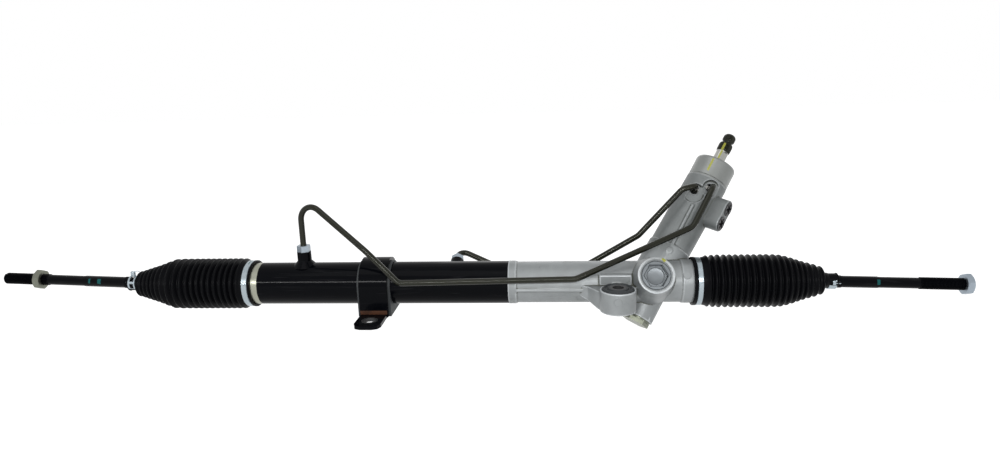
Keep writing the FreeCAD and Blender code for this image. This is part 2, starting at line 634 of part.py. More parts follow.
def casting_cuts():
    cuts = []
    cuts.append(cylinder("rack_room", "casting_bore",
                         "casting_right - casting_left + spigot_length + 20",
                         on_rack(size.casting_left - size.spigot_length - 10), X_AXIS))
    cuts.append(cylinder("inner_seal_room", "seal_dia", "seal_width + 10",
                         on_rack(size.casting_left - size.spigot_length - 10), X_AXIS))
    cuts.append(cylinder("yoke_room", "yoke_bore", "yoke_boss_reach + 10",
                         on_rack(size.yoke_x), FRONT))
    cuts.append(cone("yoke_rim", "yoke_bore + 1", "yoke_bore + 5", "2",
                     on_rack(size.yoke_x) + FRONT * (size.yoke_boss_reach - 1.4), FRONT))
    cuts.append(cylinder("bush_room", "bush_dia", "boss_height + 20", Vector(0, 0, -10),
                         Z_AXIS))
    cuts.append(cylinder("gear_bore", "gear_room", "foot_reach + middle_bearing_floor",
                         on_pinion(-size.foot_reach), SHAFT))
    cuts.append(cylinder("foot_bore", "lower_bearing_dia", "foot_reach + lower_bearing_top + 10",
                         on_pinion(-size.foot_reach - 10), SHAFT))
    cuts.append(cylinder("throat", "throat_bore", "valve_floor - middle_bearing_floor + 1",
                         on_pinion(size.middle_bearing_floor), SHAFT))
    cuts.append(cylinder("valve_room", "valve_bore", "tower_top - valve_floor + 10",
                         on_pinion(size.valve_floor), SHAFT))
    cuts.append(cylinder("tower_end", "tower_dia + 12", "10", on_pinion(size.tower_top), SHAFT))
    for name, dia, up, side in (
            ("upper_port_face", "upper_face_dia", size.upper_face_up, size.upper_face_side),
            ("lower_port_face", "lower_face_dia", size.lower_face_up, size.lower_face_side)):
        cuts.append(cylinder(name, dia, "tower_dia / 2",
                             on_pinion(up, side, size.pipe_port_face), FRONT))
    for name, up, side in (("upper_port", size.upper_port_up, size.upper_port_side),
                           ("lower_port", size.lower_port_up, size.lower_port_side)):
        cuts.append(cylinder(name, "pipe_port_bore", "tower_dia / 2",
                             on_pinion(up, side, 0), FRONT))
    # room for the right boot's cuff and its clamp
    start = on_rack(size.right_cuff - size.soft_gap)
    cuts.append(cut("cuff_room", cylinder("cuff_room_outside", "bead_dia + 3", "30", start, X_AXIS),
                    cylinder("cuff_room_inside", "tube_dia - 2 * seat_gap", "30", start, X_AXIS)))
    for name, drop in (("upper_hose", 0.0), ("lower_hose", size.hose_pitch)):
        cuts.append(cylinder(name + "_bore", "hose_bore", "hose_depth + 5",
                             on_pinion(size.hose_upper_up - drop)
                             + HOSE * (size.hose_reach - size.hose_depth), HOSE))
        cuts.append(cylinder(name + "_drill", "5", "hose_reach",
                             on_pinion(size.hose_upper_up - drop), HOSE))
    return cuts


def pinion_housing():
    pieces = barrel_pieces() + barrel_ribs() + mount_boss_pieces() + yoke_boss_pieces()
    pieces += tower_pieces() + hose_pieces()
    keep(cut("pinion_housing", fused("casting_outside", *pieces), *casting_cuts()))


def mount_bush():
    top = "boss_height + bush_lip"
    groove = "boss_height + bush_lip - bush_groove_depth"
    wall = "(bush_dia - sleeve_dia) / 2"
    inner = "sleeve_dia / 2 + seat_gap"
    outline = [("1", inner), (top, inner), (top, inner + " + " + wall + " * 0.22"),
               (groove, inner + " + " + wall + " * 0.34"),
               (groove, inner + " + " + wall + " * 0.56"),
               (top, inner + " + " + wall + " * 0.68"),
               (top, "bush_dia / 2 - 2"), ("boss_height + 0.2", "bush_dia / 2 - seat_gap"),
               ("1", "bush_dia / 2 - seat_gap")]
    keep(turned("mount_bush_rubber", outline, lying(Vector(0, 0, 0), Z_AXIS, FRONT)))
    keep(ring("mount_bush_sleeve", "sleeve_dia", "bolt_hole", "sleeve_height",
              Vector(0, 0, 0), Z_AXIS))


# Yoke, its spring, plug and seal ring

def yoke_group():
    foot = on_rack(size.yoke_x)
    slug = cylinder("yoke_slug", "yoke_bore - 2 * running_gap",
                    "yoke_top - yoke_play - yoke_skirt", foot + FRONT * size.yoke_skirt, FRONT)
    saddle = cylinder("yoke_saddle", "rack_dia + 2 * running_gap", "4 * yoke_bore",
                      foot - X_AXIS * (2 * size.yoke_bore), X_AXIS)
    pocket = cylinder("yoke_pocket", "spring_dia + spring_wire + 1", "yoke_top",
                      foot + FRONT * size.spring_seat, FRONT)
    groove = cut("yoke_ring_groove", cylinder("ring_groove_out", "yoke_bore + 4", "ring_wire + 0.4",
                                              foot + FRONT * (size.yoke_top - 6), FRONT),
                 cylinder("ring_groove_in", "yoke_bore - 2 * ring_wire - 0.2", "ring_wire + 2",
                          foot + FRONT * (size.yoke_top - 7), FRONT))
    keep(cut("yoke", slug, saddle, pocket, groove))

    seal = doc.addObject("Part::Torus", "yoke_seal_ring")
    seal.setExpression("Radius1", bound("yoke_bore / 2 - ring_wire / 2 - seat_gap"))
    seal.setExpression("Radius2", bound("ring_wire / 2"))
    seal.Placement = facing(foot + FRONT * (size.yoke_top - 6 + size.ring_wire / 2 + 0.2), FRONT)
    keep(labelled(seal, "yoke_seal_ring"))

    wire = size.spring_wire
    rise = size.spring_length - wire
    helix = Part.makeHelix(rise / size.spring_turns, rise, size.spring_dia / 2)
    start = Part.Wire([Part.makeCircle(wire / 2, Vector(size.spring_dia / 2, 0, 0), Y_AXIS)])
    sweep = Part.Wire(helix.Edges).makePipeShell([start], True, True)
    keep(solid_feature("yoke_spring", sweep,
                       facing(foot + FRONT * (size.spring_seat + wire / 2), FRONT)))

    plug = turned("yoke_plug_blank",
                  [("yoke_top", "0"), ("yoke_top", "yoke_bore / 2 - seat_gap"),
                   ("plug_face - 1", "yoke_bore / 2 - seat_gap"),
                   ("plug_face", "yoke_bore / 2 - 1"), ("plug_face", "0")],
                  lying(foot, FRONT, CROSS))
    recess = hexagon("plug_recess", "plug_hex", "plug_hex_depth + 1",
                     foot + FRONT * (size.plug_face - size.plug_hex_depth), FRONT, X_AXIS)
    room = cylinder("plug_spring_room", "spring_dia + spring_wire + 1",
                    "spring_seat + spring_length - yoke_top + 1",
                    foot + FRONT * (size.yoke_top - 1), FRONT)
    dot = cylinder("plug_dot", "plug_dot_dia", "1.4",
                   foot + FRONT * (size.plug_face - size.plug_hex_depth - 0.4), FRONT)
    keep(fused("yoke_plug", cut("yoke_plug_cut", plug, recess, room), dot))


# Pinion, valve and input shaft, all on the pinion's axis

def involute_flank(base, root, tip, half_tooth, count):
    # (radius, half angle) pairs from root to tip
    points = [(root, half_tooth(base))] if root < base else []
    first = max(base, root)
    for i in range(count):
        radius = first + (tip - first) * i / (count - 1)
        points.append((radius, half_tooth(radius)))
    return points


def pinion_section():
    # transverse section with a tooth centred on the local X axis
    transverse = math.atan(math.tan(math.radians(size.pressure)) / math.cos(lean))
    base = pitch_radius * math.cos(transverse)
    tip = pitch_radius + size.module * (size.tip_share + size.shift_share)
    root = pitch_radius - size.module * (size.root_share - size.shift_share)
    thickness = (size.module * (math.pi / 2 + 2 * size.shift_share
                                * math.tan(math.radians(size.pressure)))
                 - size.backlash / 2) / math.cos(lean)

    def involute(angle):
        return math.tan(angle) - angle

    def half_tooth(radius):
        slant = math.acos(min(1.0, base / radius))
        return thickness / 2 / pitch_radius + involute(transverse) - involute(slant)

    flank = involute_flank(base, root, tip, half_tooth, 3)
    points = []
    count = int(size.tooth_count)
    for tooth in range(count):
        middle = 2 * math.pi * tooth / count
        for radius, half in flank:
            points.append((radius, middle - half))
        for radius, half in reversed(flank):
            points.append((radius, middle + half))
    return points


def gear_solid():
    points = pinion_section()
    # ruled faces follow the helix closely when a step turns about 10 degrees
    steps = 12
    sections = []
    for step in range(steps + 1):
        along = -size.gear_half + 2 * size.gear_half * step / steps
        twist = -along * math.tan(lean) / pitch_radius
        corners = [Vector(r * math.cos(t + twist), r * math.sin(t + twist), along)
                   for r, t in points]
        sections.append(Part.makePolygon(corners + corners[:1]))
    return Part.makeLoft(sections, True, True)


def pinion_place(along):
    # local X to the rack side, local Z up the shaft
    return Placement(on_pinion(along), FreeCAD.Rotation(FRONT, Vector(), SHAFT, "ZXY"))


def pinion():
    gear = solid_feature("pinion_gear", gear_solid(), pinion_place(0))
    core = ("module * tooth_count / 2 / cos(pinion_lean) - module * (root_share - shift_share)"
            " - 0.4")
    low = "-foot_reach + foot_plug_thread + 2"
    bearing_low = "lower_bearing_top - lower_bearing_width"
    journal = "lower_bearing_bore / 2 - seat_gap"
    neck = "pinion_neck / 2 - seat_gap"
    shaft = turned("pinion_shaft",
                   [(low, "0"), (low, "lower_bearing_bore / 2 - 1"),
                    (bearing_low, "lower_bearing_bore / 2 - 1"), (bearing_low, journal),
                    ("lower_bearing_top", journal), ("lower_bearing_top", core),
                    ("gear_half + 0.5", core), ("gear_half + 0.5", neck), ("valve_floor - 1", neck),
                    ("valve_floor - 1", "throat_bore / 2 - 1"),
                    ("valve_floor + 1", "throat_bore / 2 - 1"),
                    ("valve_floor + 1", "pinion_head / 2"),
                    ("valve_floor + head_height", "pinion_head / 2"),
                    ("valve_floor + head_height", "0")],
                   lying(PINION, SHAFT, FRONT))
    bore = cylinder("torsion_room", "torsion_bore", "valve_floor",
                    on_pinion(size.middle_bearing_floor + 8), SHAFT)
    seat = cylinder("torsion_seat", "torsion_bar_dia + 2 * seat_gap", "valve_floor",
                    on_pinion(size.gear_half + 1), SHAFT)
    keep(cut("pinion", fused("pinion_blank", gear, shaft), bore, seat))


def bearing(label, outer, inner, width, along):
    # two races and a cage with its balls between them, as one closed bearing
    race = "((%s) - (%s)) / 2 * 0.28" % (outer, inner)
    step = "0.5"
    outer_r = "(%s) / 2" % outer
    inner_r = "(%s) / 2" % inner
    outline = [("0", inner_r), (width, inner_r), (width, inner_r + " + " + race),
               ("(%s) - %s" % (width, step), inner_r + " + " + race),
               ("(%s) - %s" % (width, step), outer_r + " - " + race),
               (width, outer_r + " - " + race), (width, outer_r), ("0", outer_r),
               ("0", outer_r + " - " + race), (step, outer_r + " - " + race),
               (step, inner_r + " + " + race), ("0", inner_r + " + " + race)]
    keep(turned(label, outline, lying(on_pinion(along), SHAFT, FRONT)))


def pinion_group():
    pinion()
    bearing("lower_bearing", "lower_bearing_dia - 2 * seat_gap", "lower_bearing_bore",
            "lower_bearing_width", size.lower_bearing_top - size.lower_bearing_width)
    bearing("middle_bearing", "throat_bore - 2 * seat_gap", "pinion_neck",
            "middle_bearing_width", size.middle_bearing_floor)
    nut_at = size.lower_bearing_top - size.lower_bearing_width - size.lock_nut_height
    nut = hexagon("lock_nut_blank", "lock_nut_hex", "lock_nut_height", on_pinion(nut_at),
                  SHAFT, FRONT)
    hole = cylinder("lock_nut_hole", "lower_bearing_bore - 2 + 2 * seat_gap",
                    "lock_nut_height + 2", on_pinion(nut_at - 1), SHAFT)
    keep(cut("pinion_lock_nut", nut, hole))

    thread = "lower_bearing_dia / 2 - seat_gap"
    cup = turned("lower_plug_cup",
                 [("-foot_reach - 1", "0"), ("-foot_reach - 1", thread + " - 4"),
                  ("-foot_reach + foot_plug_thread", thread + " - 4"),
                  ("-foot_reach + foot_plug_thread", thread),
                  ("-foot_reach", thread), ("-foot_reach", "foot_dia / 2 - 2.5"),
                  ("-foot_reach - 2", "foot_dia / 2 - 2.5"), ("-foot_reach - 2", "0")],
                 lying(PINION, SHAFT, FRONT))
    head = hexagon("lower_plug_head", "foot_plug_hex", "foot_plug_head - 1",
                   on_pinion(-size.foot_reach - size.foot_plug_head), SHAFT, FRONT)
    keep(fused("lower_plug", cup, head))


def valve_group():
    base = "valve_floor + head_height"
    outer = "valve_bore / 2 - running_gap"
    inner = "spool_dia / 2 + running_gap"
    slot = "valve_bore / 2 - running_gap - sleeve_ring_depth"
    outline = [(base + " + running_gap", inner), (base + " + sleeve_length", inner),
               (base + " + sleeve_length", outer)]
    shares = (0.125, 0.375, 0.625, 0.875)
    for share in shares[::-1]:
        # ring grooves from the top down
        middle = base + " + sleeve_length * %.3f" % share
        outline += [(middle + " + sleeve_ring_width / 2", outer),
                    (middle + " + sleeve_ring_width / 2", slot),
                    (middle + " - sleeve_ring_width / 2", slot),
                    (middle + " - sleeve_ring_width / 2", outer)]
    outline.append((base + " + running_gap", outer))
    keep(turned("valve_sleeve", outline, lying(PINION, SHAFT, FRONT)))

    rings = []
    for i, share in enumerate(shares):
        start = worth(base) + size.sleeve_length * share - size.sleeve_ring_width / 2 + 0.05
        rings.append(ring("sleeve_ring_%d" % (i + 1), "valve_bore - 2 * running_gap",
                          "valve_bore - 2 * running_gap - 2 * sleeve_ring_depth + 0.04",
                          "sleeve_ring_width - 0.1", on_pinion(start), SHAFT))
    keep(grouped("sleeve_rings", *rings))

    top = "tower_top + cap_height + shaft_reach - 3"
    return turned("torsion_bar_blank",
                  [("gear_half + 1", "0"), ("gear_half + 1", "torsion_bar_dia / 2"),
                   ("middle_bearing_floor + 8", "torsion_bar_dia / 2"),
                   ("middle_bearing_floor + 11", "torsion_bar_dia / 2 - 0.9"),
                   ("tower_top - 4", "torsion_bar_dia / 2 - 0.9"),
                   ("tower_top", "torsion_bar_dia / 2"),
                   (top, "torsion_bar_dia / 2"), (top, "0")],
                  lying(PINION, SHAFT, FRONT))


def input_shaft(bar):
    cap = "tower_top + cap_height"
    base = "valve_floor + head_height + running_gap"
    spool_top = "tower_top - 6"
    journal = "bearing_journal / 2 - seat_gap"
    seal = "tower_top + cap_bearing_width + 3"
    tip = cap + " + shaft_reach"
    bore = "torsion_bar_dia / 2 + 2 * seat_gap"
    outline = [(base, bore), (tip, bore), (tip, "tip_spline_dia / 2 - 3.4"),
               (tip + " - 0.9", "tip_spline_dia / 2 - 1.6"),
               (tip + " - 3", "tip_spline_dia / 2"),
               (tip + " - tip_spline_length", "tip_spline_dia / 2"),
               (tip + " - tip_spline_length - 1.5", "clamp_neck_dia / 2"),
               (cap + " + lower_spline_end", "clamp_neck_dia / 2"),
               (cap + " + lower_spline_end - 1.5", "lower_spline_dia / 2"),
               (cap + " + flats_end", "lower_spline_dia / 2"),
               (cap + " + flats_end", "shaft_dia / 2"), (seal, "shaft_dia / 2"),
               (seal, journal), (spool_top, journal), (spool_top, "spool_dia / 2"),
               (base, "spool_dia / 2")]
    blank = turned("input_shaft_blank", outline, lying(PINION, SHAFT, FRONT))
    flats = []
    for name, way in (("front_flat", 1), ("back_flat", -1)):
        outward = (SIDE * 0.5 + FRONT * 0.866) * way
        middle = size.tower_top + size.cap_height + (size.flats_end + size.dust_seal_height) / 2
        flats.append(block(name, "flats_end - dust_seal_height - 3", "2 * shaft_dia", "shaft_dia",
                           on_pinion(middle) + outward * (size.flats / 2), SHAFT, outward))
    pin_at = on_pinion(worth(cap) + (size.flats_end + size.lower_spline_end) / 2)
    pin_length = "lower_spline_dia - 2"
    foot = pin_at - SIDE * (worth(pin_length) / 2)
    hole = cylinder("pin_hole", "torsion_pin_dia + 2 * seat_gap", pin_length + " + 4",
                    foot - SIDE * 2, SIDE)
    keep(cut("input_shaft", blank, hole, *flats))
    bar_hole = cylinder("bar_pin_hole", "torsion_pin_dia + 2 * seat_gap", pin_length + " + 4",
                        foot - SIDE * 2, SIDE)
    keep(cut("torsion_bar", bar, bar_hole))
    keep(cylinder("torsion_pin", "torsion_pin_dia", pin_length, foot, SIDE))


def valve_cap_group():
    top = "tower_top + cap_height"
    inner = "cap_seal_dia / 2 + seat_gap"
    bearing_r = "cap_bearing_dia / 2 + seat_gap"
    shaft = "bearing_journal / 2 + 0.6"
    floor = "tower_top + cap_bearing_width"
    seal_floor = "tower_top + cap_height - cap_seal_width - 1.5"
    outline = [("tower_top - cap_spigot", bearing_r), (floor, bearing_r), (floor, shaft),
               (seal_floor, shaft), (seal_floor, inner), (top, inner),
               (top, "cap_dia / 2 - cap_round"),
               (top + " - cap_round * 0.3", "cap_dia / 2 - cap_round * 0.3"),
               (top + " - cap_round", "cap_dia / 2"), ("tower_top + 2.2", "cap_dia / 2"),
               ("tower_top + 1.4", "cap_dia / 2 - 0.8"),
               ("tower_top", "cap_dia / 2 - 0.8"),
               ("tower_top", "valve_bore / 2 - seat_gap"),
               ("tower_top - cap_spigot", "valve_bore / 2 - seat_gap")]
    keep(turned("valve_cap", outline, lying(PINION, SHAFT, FRONT)))
    bearing("valve_bearing", "cap_bearing_dia", "bearing_journal", "cap_bearing_width",
            size.tower_top)
    seal_at = size.tower_top + size.cap_height - size.cap_seal_width - 1.5
    rim = "cap_seal_dia / 2"
    lip = "shaft_dia / 2 + running_gap"
    keep(turned("shaft_seal",
                [("0", lip + " + 1.5"), ("cap_seal_width / 2", lip),
                 ("cap_seal_width", lip + " + 1"), ("cap_seal_width", rim), ("0", rim)],
                lying(on_pinion(seal_at), SHAFT, FRONT)))
    keep(turned("dust_seal",
                [("-1.2", lip), ("dust_seal_height", lip),
                 ("dust_seal_height", "dust_seal_dia / 2 - 2"),
                 ("dust_seal_height - 1", "dust_seal_dia / 2"), ("0", "dust_seal_dia / 2"),
                 ("0", "cap_seal_dia / 2"), ("-1.2", "cap_seal_dia / 2")],
                lying(on_pinion(size.tower_top + size.cap_height), SHAFT, FRONT)))


def hose_plugs():
    plugs = []
    for name, drop in (("upper_hose_plug", 0.0), ("lower_hose_plug", size.hose_pitch)):
        face = on_pinion(size.hose_upper_up - drop) + HOSE * size.hose_reach
        stem = cylinder(name + "_stem", "hose_bore - 2 * seat_gap", "hose_plug_length", face - HOSE
                        * size.hose_plug_length, HOSE)
        rim = cylinder(name + "_rim", "hose_bore + 1.2", "hose_plug_rim", face, HOSE)
        cross = []
        for turn in (0, 60, 120):
            angle = math.radians(turn)
            along = SHAFT * math.cos(angle) + SHAFT.cross(HOSE) * math.sin(angle)
            cross.append(block("%s_slot_%d" % (name, turn), "hose_bore * 0.84", "2.8", "8",
                               face - HOSE * 4, along, HOSE))
        plugs.append(cut(name, fused(name + "_blank", stem, rim), *cross))
    keep(grouped("hose_port_plugs", *plugs))


# Rack bar, piston and everything round them in the tube

rack_left = size.tube_left - size.travel - size.stop_gap + size.rest_shift
rack_right = size.casting_right + size.travel + size.stop_gap + size.rest_shift
piston_middle = (size.left_port + size.rear_port) / 2 + size.rest_shift


def tooth_gap(label, station):
    # trapezoid gap across the bar, cut from the pinion's side
    half = pitch / 4
    slope = math.tan(math.radians(size.pressure))
    deep = size.root_share * size.module
    high = 1.5 * size.module
    low_half = half - deep * slope + size.backlash / 4
    top_half = half + high * slope + size.backlash / 4
    corners = [Vector(-low_half, -deep, 0), Vector(low_half, -deep, 0),
               Vector(top_half, high, 0), Vector(-top_half, high, 0)]
    face = Part.Face(Part.makePolygon(corners + corners[:1]))
    solid = face.extrude(Vector(0, 0, 2 * size.rack_dia))
    place = Placement(on_rack(station) - FRONT * size.rack_line - CROSS * size.rack_dia,
                      FreeCAD.Rotation(X_AXIS, -FRONT, CROSS, "ZXY"))
    solid.Placement = place
    return solid


def rack_bar():
    length = "casting_right - tube_left + 2 * travel + 2 * stop_gap"
    bar = cylinder("bar", "rack_dia", length, on_rack(rack_left), X_AXIS)
    first = size.pinion_x - size.travel + size.rest_shift - size.tooth_margin
    last = size.pinion_x + size.travel + size.rest_shift + size.tooth_margin
    low = math.ceil((first - size.pinion_x) / pitch)
    high = math.floor((last - size.pinion_x) / pitch)
    flat_length = (high - low) * pitch + pitch / 2
    tip_line = size.rack_line + size.module * size.tip_share
    corner = (on_rack(size.pinion_x + low * pitch - pitch / 4) - FRONT * tip_line
              - CROSS * size.rack_dia)
    flat = Part.makeBox(flat_length, size.rack_dia, 2 * size.rack_dia)
    flat.Placement = Placement(corner, FreeCAD.Rotation(X_AXIS, -FRONT, CROSS, "ZXY"))
    gaps = [tooth_gap("gap", size.pinion_x + k * pitch) for k in range(low, high + 1)]
    teeth = solid_feature("tooth_gaps", flat.multiFuse(gaps))
    studs = []
    for side, end, way in (("left", rack_left, 1), ("right", rack_right, -1)):
        studs.append(cylinder(side + "_stud_hole", "stud_dia + 2 * seat_gap", "stud_length + 2",
                              on_rack(end) - X_AXIS * way, X_AXIS * way))
    keep(cut("rack_bar", bar, teeth, *studs))


def piston_group():
    inner = "rack_dia / 2 + seat_gap"
    outer = "tube_bore / 2 - 2 * running_gap"
    slot = "tube_bore / 2 - piston_ring_depth"
    keep(turned("piston",
                [("-piston_width / 2", inner), ("piston_width / 2", inner),
                 ("piston_width / 2", outer + " - 2"), ("piston_width / 2 - 1.5", outer),
                 ("piston_ring_width / 2", outer), ("piston_ring_width / 2", slot),
                 ("-piston_ring_width / 2", slot), ("-piston_ring_width / 2", outer),
                 ("-piston_width / 2 + 1.5", outer), ("-piston_width / 2", outer + " - 2")],
                lying(on_rack(piston_middle), X_AXIS)))
    keep(ring("piston_ring", "tube_bore - 2 * running_gap",
              "tube_bore - 2 * piston_ring_depth + 0.04", "piston_ring_width - 0.1",
              on_rack(piston_middle - size.piston_ring_width / 2 + 0.05), X_AXIS))


def rack_guides():
    inner = "rack_dia / 2 + running_gap"
    outer = "tube_bore / 2 - seat_gap"
    keep(turned("rack_bush",
                [("0", inner + " + 1"), ("1", inner), ("bush_length", inner),
                 ("bush_length", outer), ("12", outer), ("12", outer + " - 1.5"),
                 ("9", outer + " - 1.5"), ("9", outer), ("1", outer), ("0", outer + " - 1")],
                lying(on_rack(size.tube_left), X_AXIS)))
    outer_seal = ring("outer_rack_seal", "tube_bore - 2 * seat_gap",
                      "rack_dia + 2 * running_gap", "seal_width",
                      on_rack(size.tube_left + size.bush_length), X_AXIS)
    inner_seal = ring("inner_rack_seal", "seal_dia - 2 * seat_gap",
                      "rack_dia + 2 * running_gap", "seal_width",
                      on_rack(size.casting_left - size.spigot_length), X_AXIS)
    keep(grouped("rack_seals", outer_seal, inner_seal))
    keep(ring("seal_stop_ring", "tube_bore - 2 * seat_gap", "tube_bore - 2 * stop_ring_depth",
              "stop_ring_width",
              on_rack(size.tube_left + size.bush_length + size.seal_width), X_AXIS))


# Inner ball joints, tie rods, boots and clamps; each side is a mirror of the other

class End:
    # one end of the rack: way is -1 on the left and 1 on the right
    # knots are (ridge number, station from the cuff's end, ridge radius)
    def __init__(self, name, way, rack_end, cuff, tilt, sweep, nut_at, clamp_at, knots):
        self.name = name
        self.way = way
        self.out = X_AXIS * way
        self.rack_end = rack_end
        self.cuff = cuff
        self.nut_at = nut_at
        self.clamp_at = clamp_at
        self.knots = knots
        self.ball = on_rack(rack_end) + self.out * size.ball_reach
        rise = math.radians(tilt)
        back = math.radians(sweep)
        self.rod = Vector(way * math.cos(rise) * math.cos(back),
                          math.cos(rise) * math.sin(back), math.sin(rise))


ENDS = [
    End("left", -1, rack_left, size.left_cuff, size.left_tilt, size.left_sweep,
        size.left_nut_at, size.left_clamp_at,
        [(1, 14.8, 30.5), (10, 77.0, 30.5), (13, 101.6, 30.2), (15, 117.6, 24.6), (20, 147.4, 15.6)]),
    End("right", 1, rack_right, size.right_cuff, size.right_tilt, size.right_sweep,
        size.rod_reach - size.nut_width, size.right_clamp_at,
        [(1, 17.2, 30.2), (10, 79.1, 30.5), (13, 99.6, 29.8), (15, 112.7, 26.4), (20, 144.6, 16.4)]),
]


def ball_joint(end):
    foot = on_rack(end.rack_end)
    washer = ring(end.name + "_washer_disc", "washer_dia", "stud_dia + 2 * seat_gap",
                  "washer_width", foot, end.out)
    notches = []
    for i in range(4):
        angle = math.pi / 4 + math.pi / 2 * i
        side = Y_AXIS * math.cos(angle) + Z_AXIS * math.sin(angle)
        notches.append(cylinder("%s_washer_notch_%d" % (end.name, i + 1), "5",
                                "washer_width + 2",
                                foot - end.out + side * (size.washer_dia / 2), end.out))
    keep(cut(end.name + "_lock_washer", washer, *notches))

    room = "ball_dia / 2 + seat_wall + 2 * ball_gap"
    shell = turned(end.name + "_socket_blank",
                   [("-stud_length", "0"), ("-stud_length", "stud_dia / 2 - 1"),
                    ("-stud_length + 1", "stud_dia / 2"), ("washer_width", "stud_dia / 2"),
                    ("washer_width", "socket_dia / 2 - 1.5"),
                    ("washer_width + 1.5", "socket_dia / 2"),
                    ("ball_reach - 3", "socket_dia / 2"),
                    ("ball_reach + socket_nose", "nose_dia / 2"),
                    ("ball_reach + socket_nose", "0")],
                   lying(foot, end.out))
    ball_room = sphere(end.name + "_ball_room", "2 * (%s)" % room, end.ball, end.out)
    mouth = math.sqrt(worth(room) ** 2 - size.socket_mouth ** 2) * 2
    flare = cone(end.name + "_flare", str(mouth), "flare_dia",
                 "socket_nose - socket_mouth + 0.01", end.ball + end.out * size.socket_mouth,
                 end.out)
    core = cylinder(end.name + "_core", str(mouth), "socket_mouth", end.ball, end.out)
    flats = []
    for name, way in (("back", 1), ("front", -1)):
        flats.append(block("%s_flat_%s" % (end.name, name), "16", "2 * socket_dia", "10",
                           foot + end.out * (size.washer_width + 9)
                           + Y_AXIS * (way * size.socket_hex / 2), X_AXIS, Y_AXIS * way))
    keep(cut(end.name + "_ball_socket", shell, ball_room, flare, core, *flats))

    seat_out = sphere(end.name + "_seat_out", "ball_dia + 2 * ball_gap + 2 * seat_wall",
                      end.ball, end.out, "seat_mouth")
    seat_in = sphere(end.name + "_seat_in", "ball_dia + 2 * ball_gap", end.ball, end.out)
    keep(cut(end.name + "_ball_seat", seat_out, seat_in))


def tie_rod(end):
    place = lying(end.ball, end.rod)
    neck = "neck_dia / 2"
    collar = end.name + "_clamp_at + small_clamp_width + collar_gap"
    stem = turned(end.name + "_tie_rod_stem",
                  [("0", "0"), ("0", neck), ("neck_end", neck),
                   ("neck_end + 2", "seat_dia / 2"), (collar, "seat_dia / 2"),
                   (collar, "rod_collar_dia / 2"),
                   (collar + " + rod_collar_width", "rod_collar_dia / 2"),
                   (collar + " + rod_collar_width", "rod_dia / 2"),
                   ("rod_step", "rod_dia / 2"),
                   ("rod_step + 1.5", "slim_dia / 2"), ("thread_start - 1", "slim_dia / 2"),
                   ("thread_start", "thread_dia / 2"),
                   ("rod_reach - tip_chamfer", "thread_dia / 2"),
                   ("rod_reach", "thread_dia / 2 - tip_chamfer"), ("rod_reach", "0")],
                  place)
    ball = sphere(end.name + "_tie_rod_ball", "ball_dia", end.ball, end.rod)
    keep(fused(end.name + "_tie_rod", stem, ball))

    at = end.ball + end.rod * end.nut_at
    hexed = hexagon(end.name + "_nut_hex", "nut_hex", "nut_width", at, end.rod, CROSS)
    round_off = turned(end.name + "_nut_round",
                       [("0", "0"), ("0", "nut_hex / 2 - 0.4"),
                        ("1.6", "nut_hex / 2 / cos(30)"),
                        ("nut_width - 1.6", "nut_hex / 2 / cos(30)"),
                        ("nut_width", "nut_hex / 2 - 0.4"), ("nut_width", "0")],
                       lying(at, end.rod))
    hole = cylinder(end.name + "_nut_hole", "thread_dia + 2 * seat_gap", "nut_width + 2",
                    at - end.rod, end.rod)
    keep(cut(end.name + "_jam_nut", common(end.name + "_nut_shape", hexed, round_off), hole))


def boot_ridges(end):
    # (number, station from the cuff's end, radius, fold depth) of each ridge
    straight = int(size.straight_ridges)
    ridges = []
    for (first, start, wide), (last, finish, narrow) in zip(end.knots, end.knots[1:]):
        for number in range(first, last + (last == end.knots[-1][0])):
            share = (number - first) / (last - first)
            taper = max(0, number - straight) / (end.knots[-1][0] - straight)
            ridges.append((number, start + (finish - start) * share,
                           wide + (narrow - wide) * share,
                           size.ridge_depth + (size.last_ridge_depth - size.ridge_depth) * taper))
    return ridges


def boot(end):
    ridges = boot_ridges(end)
    inside = size.tube_dia / 2 + size.seat_gap
    neck_in = size.seat_dia / 2 + size.seat_gap
    reach = abs(end.ball.x - end.cuff)
    neck_start = reach + end.clamp_at - 1.5
    cuff_top = size.big_clamp_at + size.big_clamp_width + size.soft_gap
    outer = [(0, size.bead_dia / 2), (size.bead_width, size.bead_dia / 2),
             (size.bead_width + 0.6, size.cuff_dia / 2), (cuff_top, size.cuff_dia / 2)]
    inner = [(0, inside), (cuff_top - 1, inside)]
    turning = [number for number, station, radius in end.knots[1:]] + [2]
    for i, (number, station, radius, fold) in enumerate(ridges):
        outer.append((station, radius))
        if i + 1 < len(ridges):
            after, beyond = ridges[i + 1][1:3]
            outer.append(((station + after) / 2, (radius + beyond) / 2 - fold))
        if number in turning:
            inner.append((station, radius - fold - size.boot_wall))
    outer.append((neck_start, size.boot_neck_dia / 2))
    inner.append((neck_start, neck_in))
    corners = [Vector(x, r, 0) for x, r in outer + inner[::-1]]
    face = Part.Face(Part.makePolygon(corners + corners[:1]))
    skin = face.revolve(Vector(), X_AXIS, 360)
    skin.Placement = lying(on_rack(end.cuff), end.out)
    # the neck follows the tie rod
    length = size.small_clamp_width + size.neck_rim + 1.5
    neck_place = end.ball + end.rod * (end.clamp_at - 1.5)
    neck = Part.makeCylinder(size.boot_neck_dia / 2, length, neck_place, end.rod)
    passage = Part.makeCylinder(neck_in, length + 20, neck_place - end.rod * 10, end.rod)
    keep(solid_feature(end.name + "_boot", skin.fuse(neck).cut(passage)))


